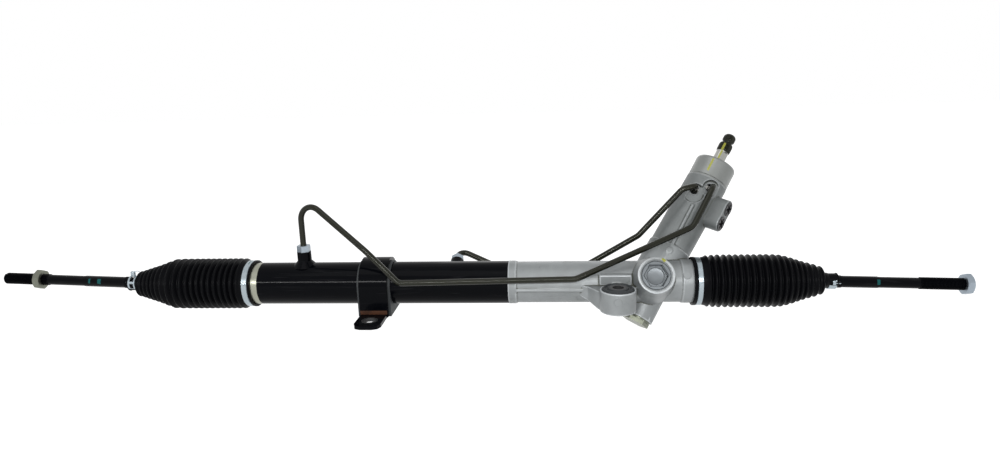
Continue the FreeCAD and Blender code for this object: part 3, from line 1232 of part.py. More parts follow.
def clamps(end):
    at = on_rack(end.cuff) + end.out * size.big_clamp_at
    keep(ring(end.name + "_large_clamp", "cuff_dia + 2 * seat_gap + 2 * clamp_band",
              "cuff_dia + 2 * seat_gap", "big_clamp_width", at, end.out))
    keep(ring(end.name + "_small_clamp", "boot_neck_dia + 2 * seat_gap + 2 * small_band",
              "boot_neck_dia + 2 * seat_gap", "small_clamp_width",
              end.ball + end.rod * end.clamp_at, end.rod))


# Clamp bracket round the tube with its rubber

def d_shape(label, radius, drop, width, middle):
    # round over the top, straight sides down to a flat bottom
    left = on_rack(middle - worth(width) / 2)
    top = cylinder(label + "_round", "2 * (%s)" % radius, width, left, X_AXIS)
    sides = block(label + "_sides", width, "2 * (%s)" % radius, drop,
                  on_rack(middle) - Z_AXIS * worth(drop), X_AXIS)
    return fused(label, top, sides)


def clamp_bracket():
    strap_in = "strap_dia / 2 - strap_wall"
    ear_drop = "-ear_top + strap_wall"
    outer = d_shape("strap_outside", "strap_dia / 2", ear_drop, "strap_width", size.bracket_x)
    inner = d_shape("strap_inside", strap_in, ear_drop + " + 1", "strap_width + 2",
                    size.bracket_x)
    ears = []
    holes = []
    for name, way in (("front", -1), ("rear", 1)):
        foot = Vector(size.bracket_x, size.axis_behind, size.axis_above + size.ear_top
                      - size.strap_wall)
        outline = [("-ear_width / 2", "strap_dia / 2 - strap_wall"),
                   ("ear_width / 2", "strap_dia / 2 - strap_wall"),
                   ("ear_width / 2", "ear_reach - ear_round"),
                   ("ear_width / 2 - ear_round * 0.29", "ear_reach - ear_round * 0.29"),
                   ("ear_width / 2 - ear_round", "ear_reach"),
                   ("-ear_width / 2 + ear_round", "ear_reach"),
                   ("-ear_width / 2 + ear_round * 0.29", "ear_reach - ear_round * 0.29"),
                   ("-ear_width / 2", "ear_reach - ear_round")]
        spin = FreeCAD.Rotation() if way > 0 else FreeCAD.Rotation(Z_AXIS, 180)
        ears.append(extruded(name + "_ear", outline, "strap_wall", Placement(foot, spin)))
        at = foot + Y_AXIS * (way * size.ear_hole_out)
        holes.append(cylinder(name + "_ear_hole", "ear_sleeve_dia + 2 * seat_gap",
                              "strap_wall + 2", at - Z_AXIS, Z_AXIS))
    shell = cut("strap", outer, inner)
    keep(cut("clamp_bracket", fused("strap_with_ears", shell, *ears), *holes))

    sleeves = []
    for name, way in (("front", -1), ("rear", 1)):
        at = Vector(size.bracket_x, size.axis_behind + way * size.ear_hole_out,
                    size.axis_above + size.ear_top - size.strap_wall)
        sleeves.append(ring(name + "_ear_sleeve", "ear_sleeve_dia", "ear_hole",
                            "strap_wall + ear_sleeve_rise", at, Z_AXIS))
    keep(grouped("bracket_sleeves", *sleeves))

    pad_out = strap_in + " - seat_gap"
    pad_width = "strap_width + 2 * pad_proud"
    pad = d_shape("pad_outside", pad_out, ear_drop, pad_width, size.bracket_x)
    hole = cylinder("pad_inside", "tube_dia + 2 * seat_gap", "2 * strap_width",
                    on_rack(size.bracket_x - size.strap_width), X_AXIS)
    keep(cut("bracket_rubber", pad, hole))


# Oil pipes: straight runs joined by tangent arcs

def bent_path(points, radius):
    edges = []
    previous = points[0]
    for before, corner, after, bend in zip(points, points[1:], points[2:], radius):
        back = (before - corner).normalize()
        ahead = (after - corner).normalize()
        half = math.acos(max(-1.0, min(1.0, back.dot(ahead)))) / 2
        reach = bend / math.tan(half)
        middle_way = (back + ahead).normalize()
        start = corner + back * reach
        finish = corner + ahead * reach
        middle = corner + middle_way * (bend / math.sin(half) - bend)
        edges.append(Part.LineSegment(previous, start).toShape())
        edges.append(Part.Arc(start, middle, finish).toShape())
        previous = finish
    edges.append(Part.LineSegment(previous, points[-1]).toShape())
    return Part.Wire(edges)


def pipe(label, points, radius):
    path = bent_path(points, radius)
    start = (points[1] - points[0]).normalize()
    tubes = []
    for width in (size.pipe_dia, size.pipe_bore):
        section = Part.Wire([Part.makeCircle(width / 2, points[0], start)])
        tubes.append(path.makePipeShell([section], True, False))
    keep(solid_feature(label, tubes[0].cut(tubes[1])))


def beside_rack(x, behind, above):
    return on_rack(x) + Y_AXIS * behind + Z_AXIS * above


def oil_pipes():
    tight = size.tight_bend
    in_port = 8
    # the pipes end just short of the valve sleeve
    tip = size.valve_bore / 2 + 0.2
    left = port_top(size.left_port, Z_AXIS)
    pipe("pipe_front",
         [left - Z_AXIS * in_port,
          beside_rack(size.left_port, 0, 110),
          beside_rack(-284, -32, 47), beside_rack(-247.5, -37, 10.5),
          beside_rack(-46, -36, 14),
          on_pinion(73.6, 7.5, 33), on_pinion(size.upper_pipe_up, size.upper_pipe_side, 33),
          on_pinion(size.upper_pipe_up, size.upper_pipe_side, tip)],
         [17, 40, tight, size.pipe_bend, size.pipe_bend, tight])
    rear = port_top(size.rear_port, REAR_PORT)
    pipe("pipe_rear",
         [rear - REAR_PORT * in_port, rear + REAR_PORT * 25,
          beside_rack(-140, 44, 6), beside_rack(-36, 33, 7.5), beside_rack(30.1, 29, 47.6),
          on_pinion(108.8, -23, 32),
          on_pinion(size.lower_pipe_up, size.lower_pipe_side, 31),
          on_pinion(size.lower_pipe_up, size.lower_pipe_side, tip)],
         [tight, size.pipe_bend, size.pipe_bend, size.pipe_bend, 11.0, 6.0])


cylinder_tube()
pipe_nuts()
pinion_housing()
mount_bush()
yoke_group()
pinion_group()
input_shaft(valve_group())
valve_cap_group()
hose_plugs()
rack_bar()
piston_group()
rack_guides()
for end in ENDS:
    ball_joint(end)
    tie_rod(end)
    boot(end)
    clamps(end)
clamp_bracket()
oil_pipes()

doc.recompute()
for thing in doc.Objects:
    bad = [state for state in thing.State if state in ("Invalid", "Error")]
    if bad:
        raise RuntimeError("%s failed: %s" % (thing.Label, thing.State))
for thing in NODES:
    if thing.Shape.isNull() or not thing.Shape.isValid():
        raise RuntimeError("%s has no valid shape" % thing.Label)

os.makedirs("parts", exist_ok=True)
for thing in NODES:
    thing.Shape.exportStep("parts/%s.step" % thing.Label)
    box = thing.Shape.BoundBox
    print("%-20s solids %d volume %9.0f x %7.1f %7.1f y %6.1f %6.1f z %6.1f %6.1f" % (
        thing.Label, len(thing.Shape.Solids), thing.Shape.Volume,
        box.XMin, box.XMax, box.YMin, box.YMax, box.ZMin, box.ZMax))
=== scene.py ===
import bpy
import bmesh
import json
from math import pi, sin, cos, radians
from mathutils import Matrix, Vector


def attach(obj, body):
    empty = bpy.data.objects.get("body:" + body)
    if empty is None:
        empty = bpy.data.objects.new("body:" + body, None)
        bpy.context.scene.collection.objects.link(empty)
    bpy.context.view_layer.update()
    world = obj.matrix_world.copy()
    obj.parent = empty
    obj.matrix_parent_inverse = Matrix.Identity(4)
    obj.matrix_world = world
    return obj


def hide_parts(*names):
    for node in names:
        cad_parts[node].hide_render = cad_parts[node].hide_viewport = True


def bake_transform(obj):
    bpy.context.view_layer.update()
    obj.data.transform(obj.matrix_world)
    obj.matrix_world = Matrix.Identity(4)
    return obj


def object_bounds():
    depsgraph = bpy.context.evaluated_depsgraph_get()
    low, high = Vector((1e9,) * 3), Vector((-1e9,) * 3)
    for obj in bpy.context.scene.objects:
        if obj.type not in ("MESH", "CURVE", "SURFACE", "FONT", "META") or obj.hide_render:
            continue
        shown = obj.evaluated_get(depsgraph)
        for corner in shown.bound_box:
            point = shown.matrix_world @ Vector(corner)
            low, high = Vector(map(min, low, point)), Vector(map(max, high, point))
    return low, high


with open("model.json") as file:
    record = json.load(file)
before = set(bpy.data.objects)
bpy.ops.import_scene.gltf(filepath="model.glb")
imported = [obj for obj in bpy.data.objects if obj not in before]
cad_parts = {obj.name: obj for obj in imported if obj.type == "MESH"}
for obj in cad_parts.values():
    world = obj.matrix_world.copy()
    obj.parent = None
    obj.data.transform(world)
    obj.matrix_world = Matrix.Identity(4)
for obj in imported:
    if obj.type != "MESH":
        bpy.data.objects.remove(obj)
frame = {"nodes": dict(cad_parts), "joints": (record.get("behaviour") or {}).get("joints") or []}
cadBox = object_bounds()
nodes = frame["nodes"]
scene = bpy.context.scene
scene.view_settings.view_transform = "Standard"
mm = 0.001

# the rack's own directions and centres, in the frame of the part
railY, railZ = 48 * mm, 20 * mm
frontWay = Vector((0, -0.90631, 0.42262))
shaftWay = Vector((0.48328, 0.36999, 0.79345)).normalized()
sideWay = frontWay.cross(shaftWay)
shaftFoot = Vector((48.4, 63.638, 12.708)) * mm
joints = {j["name"]: j for j in frame["joints"]}


def jointPlace(name):
    return Vector(joints[name]["pos_m"])


def railPoint(x, y=0.0, z=0.0):  # a point in mm along, behind and above the rack's axis
    return Vector((x * mm, railY + y * mm, railZ + z * mm))


def frameAt(origin, along, side):  # local x runs along side, local z along
    along = Vector(along).normalized()
    side = (Vector(side) - Vector(side).dot(along) * along).normalized()
    turn = Matrix((side, along.cross(side), along)).transposed().to_4x4()
    return Matrix.Translation(origin) @ turn


# camera at the photograph's viewing angle
photoView = {"place": (-0.0671, -0.7426, 0.2678), "yaw": 4.7, "pitch": 12.7, "roll": 1.7, "lens": 25.2}


def photoCamera(p):
    yaw, pitch, roll = radians(p["yaw"]), radians(p["pitch"]), radians(p["roll"])
    forward = Vector((-sin(yaw) * cos(pitch), cos(yaw) * cos(pitch), -sin(pitch)))
    level = Vector((cos(yaw), sin(yaw), 0))
    down = forward.cross(level)
    right = level * cos(roll) + down * sin(roll)
    low = down * cos(roll) - level * sin(roll)
    data = bpy.data.cameras.new("photoCamera")
    data.lens, data.sensor_width = p["lens"], 36
    data.clip_start, data.clip_end = 0.01, 50
    camera = bpy.data.objects.new("photoCamera", data)
    scene.collection.objects.link(camera)
    turn = Matrix((right, -low, -forward)).transposed().to_4x4()
    camera.matrix_world = Matrix.Translation(p["place"]) @ turn
    scene.camera = camera


photoCamera(photoView)


def fill(node, values):  # the values of a shader node's inputs
    for socket, value in values.items():
        node.inputs[socket].default_value = value


def addNode(n, kind, values=None, **settings):  # a shader node with its settings and its inputs' values
    node = n.new("ShaderNode" + kind)
    for name, value in settings.items():
        setattr(node, name, value)
    fill(node, values or {})
    return node


# lamps, world and floor
studio = {
    "world": 0.24, "worldColour": (0.97, 0.985, 1),
    "lamps": [
        # name, place, aims at, width, height, watts
        ("front", (-0.2, -1.45, 0.59), (-0.1, 0.05, 0.03), 1.9, 0.06, 17),
        ("overhead", (-0.3, -0.6, 1.4), (-0.1, 0.05, 0.03), 1.2, 0.8, 3),
        ("behind", (0.3, 1.4, 0.7), (0.0, 0.05, 0.02), 1.6, 0.6, 3),
    ],
    "floorColour": (0.5, 0.5, 0.5), "floorRough": 0.9, "floorSheen": 0.1,
    "floorLift": 0.95, "floorReach": 4, "floorDrop": 0.0006,
}


def makeWorld(p):  # a dim light on the part, plain white where it is looked at, mirrored or seen through
    world = bpy.data.worlds.new("paleRoom")
    world.use_nodes = True
    scene.world = world
    n, link = world.node_tree.nodes, world.node_tree.links.new
    n.clear()
    back = addNode(n, "Background", {"Strength": p["world"], "Color": (*p["worldColour"], 1)})
    white = addNode(n, "Background", {"Color": (1, 1, 1, 1), "Strength": 1})
    rays = addNode(n, "LightPath")
    seen = addNode(n, "Math", operation="MAXIMUM")
    seenToo = addNode(n, "Math", operation="MAXIMUM")
    mix = addNode(n, "MixShader")
    end = addNode(n, "OutputWorld")
    link(rays.outputs["Is Camera Ray"], seen.inputs[0])
    link(rays.outputs["Is Glossy Ray"], seen.inputs[1])
    link(seen.outputs[0], seenToo.inputs[0])
    link(rays.outputs["Is Transmission Ray"], seenToo.inputs[1])
    link(seenToo.outputs[0], mix.inputs[0])
    link(back.outputs[0], mix.inputs[1])
    link(white.outputs[0], mix.inputs[2])
    link(mix.outputs[0], end.inputs[0])


def makeLamps(p):
    for name, place, target, width, height, watts in p["lamps"]:
        data = bpy.data.lights.new(name, "AREA")
        data.shape, data.size, data.size_y, data.energy = "RECTANGLE", width, height, watts
        lamp = bpy.data.objects.new(name, data)
        lamp.location = place
        lamp.rotation_euler = (Vector(target) - Vector(place)).to_track_quat("-Z", "Y").to_euler()
        scene.collection.objects.link(lamp)


def makeFloor(p):  # it takes shadows, and its own glow lifts it to the paper's white
    bm = bmesh.new()
    bmesh.ops.create_grid(bm, x_segments=4, y_segments=4, size=p["floorReach"])
    low = min(cadBox[0][2], cadBox[1][2])
    bmesh.ops.translate(bm, verts=bm.verts, vec=(0, 0, low - p["floorDrop"]))
    mesh = bpy.data.meshes.new("floor")
    bm.to_mesh(mesh)
    bm.free()
    floor = bpy.data.objects.new("floor", mesh)
    scene.collection.objects.link(floor)
    mat = bpy.data.materials.new("paleFloor")
    mat.use_nodes = True
    n, link = mat.node_tree.nodes, mat.node_tree.links.new
    shader = n["Principled BSDF"]
    fill(shader, {"Base Color": (*p["floorColour"], 1), "Roughness": p["floorRough"],
                  "Specular IOR Level": p["floorSheen"]})
    glow = addNode(n, "Emission")
    rays = addNode(n, "LightPath")
    seen = addNode(n, "Math", operation="MAXIMUM")
    lift = addNode(n, "Math", {1: p["floorLift"]}, operation="MULTIPLY")
    both = addNode(n, "AddShader")
    link(rays.outputs["Is Camera Ray"], seen.inputs[0])
    link(rays.outputs["Is Glossy Ray"], seen.inputs[1])
    link(seen.outputs[0], lift.inputs[0])
    link(lift.outputs[0], glow.inputs["Strength"])
    link(shader.outputs[0], both.inputs[0])
    link(glow.outputs[0], both.inputs[1])
    link(both.outputs[0], n["Material Output"].inputs["Surface"])
    mesh.materials.append(mat)


makeWorld(studio)
makeLamps(studio)
makeFloor(studio)
print("camera, lamps and floor stand")


# shader groups that the finishes share
def newGroup(name, inputs, outputs):
    group = bpy.data.node_groups.new(name, "ShaderNodeTree")
    for label, kind, value in inputs:
        socket = group.interface.new_socket(name=label, in_out="INPUT", socket_type="NodeSocket" + kind)
        socket.default_value = value
    for label in outputs:
        group.interface.new_socket(name=label, in_out="OUTPUT", socket_type="NodeSocketFloat")
    return group, group.nodes.new("NodeGroupInput"), group.nodes.new("NodeGroupOutput")


def grainGroup():  # fine grain with pits, for castings, rubber and paint
    group, start, end = newGroup(
        "surfaceGrain", [("Scale", "Float", 900.0), ("Pits", "Float", 0.3)], ["Height", "Mottle"]
    )
    n, link = group.nodes, group.links.new
    place = addNode(n, "TexCoord")
    fine = addNode(n, "TexNoise", {"Detail": 4, "Roughness": 0.62})
    pits = addNode(n, "TexVoronoi")
    third = addNode(n, "Math", {1: 0.34}, operation="MULTIPLY")
    hollow = addNode(n, "MapRange", {"From Max": 0.28})
    weigh = addNode(n, "Math", operation="MULTIPLY")
    total = addNode(n, "Math", operation="ADD")
    wide = addNode(n, "TexNoise", {"Scale": 60, "Detail": 5})
    for texture in (fine, pits, wide):
        link(place.outputs["Object"], texture.inputs["Vector"])
    link(start.outputs["Scale"], fine.inputs["Scale"])
    link(start.outputs["Scale"], third.inputs[0])
    link(third.outputs[0], pits.inputs["Scale"])
    link(pits.outputs["Distance"], hollow.inputs["Value"])
    link(hollow.outputs[0], weigh.inputs[0])
    link(start.outputs["Pits"], weigh.inputs[1])
    link(fine.outputs["Fac"], total.inputs[0])
    link(weigh.outputs[0], total.inputs[1])
    link(total.outputs[0], end.inputs["Height"])
    link(wide.outputs["Fac"], end.inputs["Mottle"])
    return group


def marksGroup():  # handling marks: thin lines one way, dirt in soft patches
    group, start, end = newGroup(
        "handlingMarks",
        [("Stretch", "Vector", (40.0, 600.0, 600.0)), ("Dirt Scale", "Float", 45.0), ("Dirt", "Float", 0.4)],
        ["Lines", "Dirt"],
    )
    n, link = group.nodes, group.links.new
    place = addNode(n, "TexCoord")
    stretch = addNode(n, "VectorMath", operation="MULTIPLY")
    lines = addNode(n, "TexNoise", {"Scale": 1, "Detail": 2})
    keep = addNode(n, "MapRange", {"From Min": 0.6, "From Max": 0.72})
    patch = addNode(n, "TexNoise", {"Detail": 7, "Roughness": 0.66})
    level = addNode(n, "Math", {0: 1}, operation="SUBTRACT")
    soft = addNode(n, "MapRange", {"To Max": 1})
    upper = addNode(n, "Math", {1: 0.16}, operation="ADD")
    link(place.outputs["Object"], stretch.inputs[0])
    link(start.outputs["Stretch"], stretch.inputs[1])
    link(stretch.outputs[0], lines.inputs["Vector"])
    link(lines.outputs["Fac"], keep.inputs["Value"])
    link(keep.outputs[0], end.inputs["Lines"])
    link(place.outputs["Object"], patch.inputs["Vector"])
    link(start.outputs["Dirt Scale"], patch.inputs["Scale"])
    link(start.outputs["Dirt"], level.inputs[1])
    link(level.outputs[0], soft.inputs["From Min"])
    link(level.outputs[0], upper.inputs[0])
    link(upper.outputs[0], soft.inputs["From Max"])
    link(patch.outputs["Fac"], soft.inputs["Value"])
    link(soft.outputs[0], end.inputs["Dirt"])
    return group


def edgeGroup():  # painted shade in the hollows and a painted highlight on the edges, both found from pointiness
    group, start, end = newGroup("creviceShadeEdgeGlint", [("Reach", "Float", 0.04)], ["PaintedShade", "PaintedGlint"])
    n, link = group.nodes, group.links.new
    form = addNode(n, "NewGeometry")
    less = addNode(n, "Math", {0: 0.5}, operation="SUBTRACT")
    more = addNode(n, "Math", {0: 0.5}, operation="ADD")
    link(start.outputs["Reach"], less.inputs[1])
    link(start.outputs["Reach"], more.inputs[1])
    for limit, low, name in ((less, 0.492, "PaintedShade"), (more, 0.508, "PaintedGlint")):
        keep = addNode(n, "MapRange", {"From Min": low})
        link(form.outputs["Pointiness"], keep.inputs["Value"])
        link(limit.outputs[0], keep.inputs["From Max"])
        link(keep.outputs[0], end.inputs[name])
    return group


grain, marks, shadeGlint = grainGroup(), marksGroup(), edgeGroup()
glintGain = 1.9  # how much paler the painted highlight on an edge is than its surface
coatRough = 0.12


def finish(name, p):  # one metal, paint or rubber from its own values
    mat = bpy.data.materials.new(name)
    mat.use_nodes = True
    n, link = mat.node_tree.nodes, mat.node_tree.links.new
    shader = n["Principled BSDF"]
    fill(shader, {"Specular IOR Level": p.get("specular", 0.5), "Metallic": p.get("metallic", 0)})
    g = addNode(n, "Group", {"Scale": p["grain"], "Pits": p.get("pits", 0.3)}, node_tree=grain)
    m = addNode(n, "Group", {"Stretch": p.get("stretch", (40, 600, 600)), "Dirt Scale": p.get("dirtScale", 45),
                             "Dirt": p.get("dirt", 0.4)}, node_tree=marks)
    mottle = addNode(n, "Mix", {"A": (*p["colour"], 1), "B": (*p["second"], 1)}, data_type="RGBA")
    dirty = addNode(n, "Mix", {"B": (*p["dirtAndShadeTone"], 1)}, data_type="RGBA")
    lined = addNode(n, "Mix", {"B": (*p.get("line", p["second"]), 1)}, data_type="RGBA")
    share = addNode(n, "Math", {1: p.get("lines", 0.3)}, operation="MULTIPLY")
    rough = addNode(n, "MapRange", {"To Min": p["rough"][0], "To Max": p["rough"][1]})
    bump = addNode(n, "Bump", {"Strength": p.get("bump", 0.3), "Distance": p.get("depth", 0.00012)})
    link(g.outputs["Mottle"], mottle.inputs["Factor"])
    link(mottle.outputs["Result"], dirty.inputs["A"])
    link(m.outputs["Dirt"], dirty.inputs["Factor"])
    link(dirty.outputs["Result"], lined.inputs["A"])
    link(m.outputs["Lines"], share.inputs[0])
    link(share.outputs[0], lined.inputs["Factor"])
    colour = lined.outputs["Result"]
    # painted shade in hollows, in the dirt colour, and a painted highlight on edges
    if p.get("hollow"):
        shadeGlintMix = addNode(n, "Group", {"Reach": p.get("reach", 0.04)}, node_tree=shadeGlint)
        pale = [min(1, c * glintGain) for c in p["colour"]]
        for output, amount, tone in (("PaintedShade", p["hollow"], p["dirtAndShadeTone"]), ("PaintedGlint", p["edge"], pale)):
            part = addNode(n, "Math", {1: amount}, operation="MULTIPLY")
            step = addNode(n, "Mix", {"B": (*tone, 1)}, data_type="RGBA")
            link(shadeGlintMix.outputs[output], part.inputs[0])
            link(colour, step.inputs["A"])
            link(part.outputs[0], step.inputs["Factor"])
            colour = step.outputs["Result"]
    link(colour, shader.inputs["Base Color"])
    link(g.outputs["Mottle"], rough.inputs["Value"])
    link(rough.outputs[0], shader.inputs["Roughness"])
    link(g.outputs["Height"], bump.inputs["Height"])
    link(bump.outputs[0], shader.inputs["Normal"])
    if p.get("coat"):
        fill(shader, {"Coat Weight": p["coat"], "Coat Roughness": coatRough})
    return mat


# the third colour of each finish is its dirt's colour and, where hollows are set, also the colour of the painted
# shade in them
finishes = {
    "blackEnamel": {
        "colour": (0.0016, 0.002, 0.0032), "second": (0.0026, 0.003, 0.0044), "dirtAndShadeTone": (0.009, 0.0085, 0.009),
        "rough": (0.09, 0.13), "specular": 0.045, "grain": 500, "bump": 0.04, "dirt": 0.26, "lines": 0.12,
        "line": (0.05, 0.05, 0.055), "stretch": (30, 500, 500),
    },
    "castSilver": {
        "colour": (0.39, 0.41, 0.42), "second": (0.23, 0.245, 0.245), "dirtAndShadeTone": (0.08, 0.083, 0.066),
        # hollow is the strength of the painted shade in hollows, edge that of the painted highlight on edges
        "rough": (0.36, 0.5), "metallic": 0.3, "specular": 0.3, "hollow": 0.95, "edge": 0.6, "reach": 0.03,
        "grain": 620, "pits": 0.6, "bump": 0.6, "depth": 0.00026,
        "dirt": 0.36, "dirtScale": 60, "lines": 0.15,
    },
    "bareSteel": {
        "colour": (0.42, 0.42, 0.4), "second": (0.3, 0.3, 0.28), "dirtAndShadeTone": (0.1, 0.09, 0.075),
        "rough": (0.2, 0.34), "metallic": 1, "grain": 1200, "bump": 0.1, "dirt": 0.28, "lines": 0.4,
    },
    "dullSteel": {
        "colour": (0.26, 0.265, 0.26), "second": (0.2, 0.2, 0.195), "dirtAndShadeTone": (0.08, 0.07, 0.06),
        "rough": (0.35, 0.55), "metallic": 0.9, "grain": 900, "bump": 0.2, "dirt": 0.36, "lines": 0.3,
    },
    "paleSeal": {
        "colour": (0.42, 0.44, 0.43), "second": (0.34, 0.36, 0.35), "dirtAndShadeTone": (0.12, 0.11, 0.1),
        "rough": (0.4, 0.55), "metallic": 0.2, "grain": 900, "bump": 0.1, "dirt": 0.3, "lines": 0.1,
    },
    "rustFilm": {
        "colour": (0.085, 0.032, 0.014), "second": (0.05, 0.02, 0.011), "dirtAndShadeTone": (0.02, 0.01, 0.007),
        "rough": (0.6, 0.8), "specular": 0.2, "grain": 800, "bump": 0.4, "dirt": 0.45, "lines": 0.1,
    },
    "darkSleeve": {
        "colour": (0.05, 0.05, 0.052), "second": (0.033, 0.033, 0.033), "dirtAndShadeTone": (0.07, 0.045, 0.025),
        "rough": (0.4, 0.6), "metallic": 0.3, "specular": 0.3,
        "grain": 900, "bump": 0.25, "dirt": 0.4, "lines": 0.2,
    },
    "plugOlive": {
        "colour": (0.2, 0.215, 0.165), "second": (0.14, 0.15, 0.115), "dirtAndShadeTone": (0.05, 0.045, 0.03),
        "rough": (0.28, 0.44), "metallic": 0.6, "grain": 700, "bump": 0.2, "dirt": 0.38, "lines": 0.2,
    },
    "clampZinc": {
        "colour": (0.27, 0.31, 0.335), "second": (0.18, 0.21, 0.225), "dirtAndShadeTone": (0.06, 0.06, 0.06),
        # hollow is the strength of the painted shade in hollows, edge that of the painted highlight on edges
        "rough": (0.22, 0.34), "metallic": 0.9, "hollow": 0.5, "edge": 0.4,
        "grain": 900, "bump": 0.16, "dirt": 0.3, "lines": 0.35,
        "stretch": (600, 60, 60),
    },
    "plugGrey": {
        "colour": (0.15, 0.165, 0.175), "second": (0.11, 0.12, 0.128), "dirtAndShadeTone": (0.04, 0.04, 0.036),
        "rough": (0.26, 0.4), "metallic": 0.6, "grain": 700, "bump": 0.2, "dirt": 0.36, "lines": 0.2,
    },
    "capGrey": {
        "colour": (0.27, 0.28, 0.275), "second": (0.2, 0.21, 0.2), "dirtAndShadeTone": (0.06, 0.055, 0.05),
        "rough": (0.3, 0.42), "metallic": 0.7, "grain": 800, "bump": 0.2, "dirt": 0.3, "lines": 0.3,
    },
    "oliveZinc": {
        "colour": (0.017, 0.018, 0.0085), "second": (0.009, 0.0095, 0.006), "dirtAndShadeTone": (0.034, 0.029, 0.015),
        "rough": (0.1, 0.18), "metallic": 0.3, "specular": 0.3,
        "grain": 700, "bump": 0.15, "dirt": 0.34, "lines": 0.2,
    },
    "nutOlive": {
        "colour": (0.2, 0.21, 0.17), "second": (0.14, 0.145, 0.12), "dirtAndShadeTone": (0.06, 0.05, 0.04),
        "rough": (0.34, 0.5), "metallic": 0.85, "grain": 800, "bump": 0.2, "dirt": 0.36, "lines": 0.2,
    },
    "nutZinc": {
        "colour": (0.34, 0.39, 0.44), "second": (0.25, 0.29, 0.33), "dirtAndShadeTone": (0.08, 0.08, 0.08),
        "rough": (0.28, 0.44), "metallic": 0.9, "grain": 800, "bump": 0.2, "dirt": 0.3, "lines": 0.2,
    },
    "bootRubber": {
        "colour": (0.0022, 0.0023, 0.0032), "second": (0.0032, 0.0034, 0.0043), "dirtAndShadeTone": (0.009, 0.009, 0.01),
        "rough": (0.3, 0.42), "specular": 0.05, "grain": 1100, "bump": 0.12, "dirt": 0.3, "lines": 0.0,
    },
    "bushRubber": {
        "colour": (0.034, 0.038, 0.041), "second": (0.024, 0.027, 0.029), "dirtAndShadeTone": (0.07, 0.066, 0.062),
        "rough": (0.5, 0.68), "specular": 0.35, "grain": 1000, "bump": 0.2, "dirt": 0.36, "lines": 0.0,
    },
    "sealRubber": {
        "colour": (0.016, 0.016, 0.017), "second": (0.024, 0.024, 0.025), "dirtAndShadeTone": (0.05, 0.048, 0.045),
        "rough": (0.42, 0.6), "specular": 0.35, "grain": 1000, "bump": 0.15, "dirt": 0.3, "lines": 0.0,
    },
    "blackPlastic": {
        "colour": (0.012, 0.012, 0.013), "second": (0.018, 0.018, 0.019), "dirtAndShadeTone": (0.04, 0.04, 0.04),
        "rough": (0.38, 0.5), "specular": 0.4, "grain": 1400, "bump": 0.1, "dirt": 0.26, "lines": 0.1,
    },
    "whitePlastic": {
        "colour": (0.62, 0.6, 0.55), "second": (0.55, 0.53, 0.48), "dirtAndShadeTone": (0.3, 0.27, 0.22),
        "rough": (0.4, 0.5), "grain": 900, "bump": 0.1, "dirt": 0.3, "lines": 0.0,
    },
    "bronze": {
        "colour": (0.42, 0.29, 0.14), "second": (0.34, 0.23, 0.11), "dirtAndShadeTone": (0.1, 0.07, 0.04),
        "rough": (0.32, 0.46), "metallic": 1, "grain": 900, "bump": 0.15, "dirt": 0.3, "lines": 0.3,
    },
}
mats = {name: finish(name, values) for name, values in finishes.items()}


def overlay(mat, mask, layers):  # new values over those a finish has, where the mask is 1
    n, link = mat.node_tree.nodes, mat.node_tree.links.new
    for socket, value in layers.items():
        target = n["Principled BSDF"].inputs[socket]
        mix = addNode(n, "Mix", data_type="RGBA" if socket == "Base Color" else "FLOAT")
        if target.is_linked:
            link(target.links[0].from_socket, mix.inputs["A"])
        else:
            mix.inputs["A"].default_value = target.default_value
        mix.inputs["B"].default_value = value
        link(mask, mix.inputs["Factor"])
        link(mix.outputs["Result"], target)


# the tube's uncovered end: the paint's edge along x, and how ragged and how soft it is, mm
bareEnd = {"edge": -420.7, "ragged": 0.8, "soft": 0.2, "colour": (0.3, 0.305, 0.25), "rough": 0.3}


def bareBand(mat, p):
    n, link = mat.node_tree.nodes, mat.node_tree.links.new
    place = addNode(n, "TexCoord")
    split = addNode(n, "SeparateXYZ")
    noise = addNode(n, "TexNoise", {"Scale": 300})
    shift = addNode(n, "Math", {1: p["ragged"] * mm}, operation="MULTIPLY_ADD")
    high, low = (p["edge"] + p["soft"]) * mm, (p["edge"] - p["soft"]) * mm
    test = addNode(n, "MapRange", {"From Min": high, "From Max": low})
    link(place.outputs["Object"], split.inputs[0])
    link(place.outputs["Object"], noise.inputs["Vector"])
    link(noise.outputs["Fac"], shift.inputs[0])
    link(split.outputs["X"], shift.inputs[2])
    link(shift.outputs[0], test.inputs["Value"])
    overlay(mat, test.outputs[0], {"Base Color": (*p["colour"], 1), "Roughness": p["rough"], "Metallic": 1.0})


# painted shade: the casting's colour is darker up the tower, for the shade that falls there
towerShade = {"low": 44, "high": 66, "share": 0.55, "colour": (0.105, 0.115, 0.11)}


def paintTowerShade(mat, p):
    n, link = mat.node_tree.nodes, mat.node_tree.links.new
    place = addNode(n, "TexCoord")
    split = addNode(n, "SeparateXYZ")
    test = addNode(n, "MapRange", {"From Min": p["low"] * mm, "From Max": p["high"] * mm, "To Max": p["share"]},
                   interpolation_type="SMOOTHSTEP")
    link(place.outputs["Object"], split.inputs[0])
    link(split.outputs["Z"], test.inputs["Value"])
    # the painted shade's colour laid over the casting's own, fading in with height
    overlay(mat, test.outputs[0], {"Base Color": (*p["colour"], 1)})


paintTowerShade(mats["castSilver"], towerShade)
mats["tubeEnamel"] = finish("tubeEnamel", finishes["blackEnamel"])
bareBand(mats["tubeEnamel"], bareEnd)

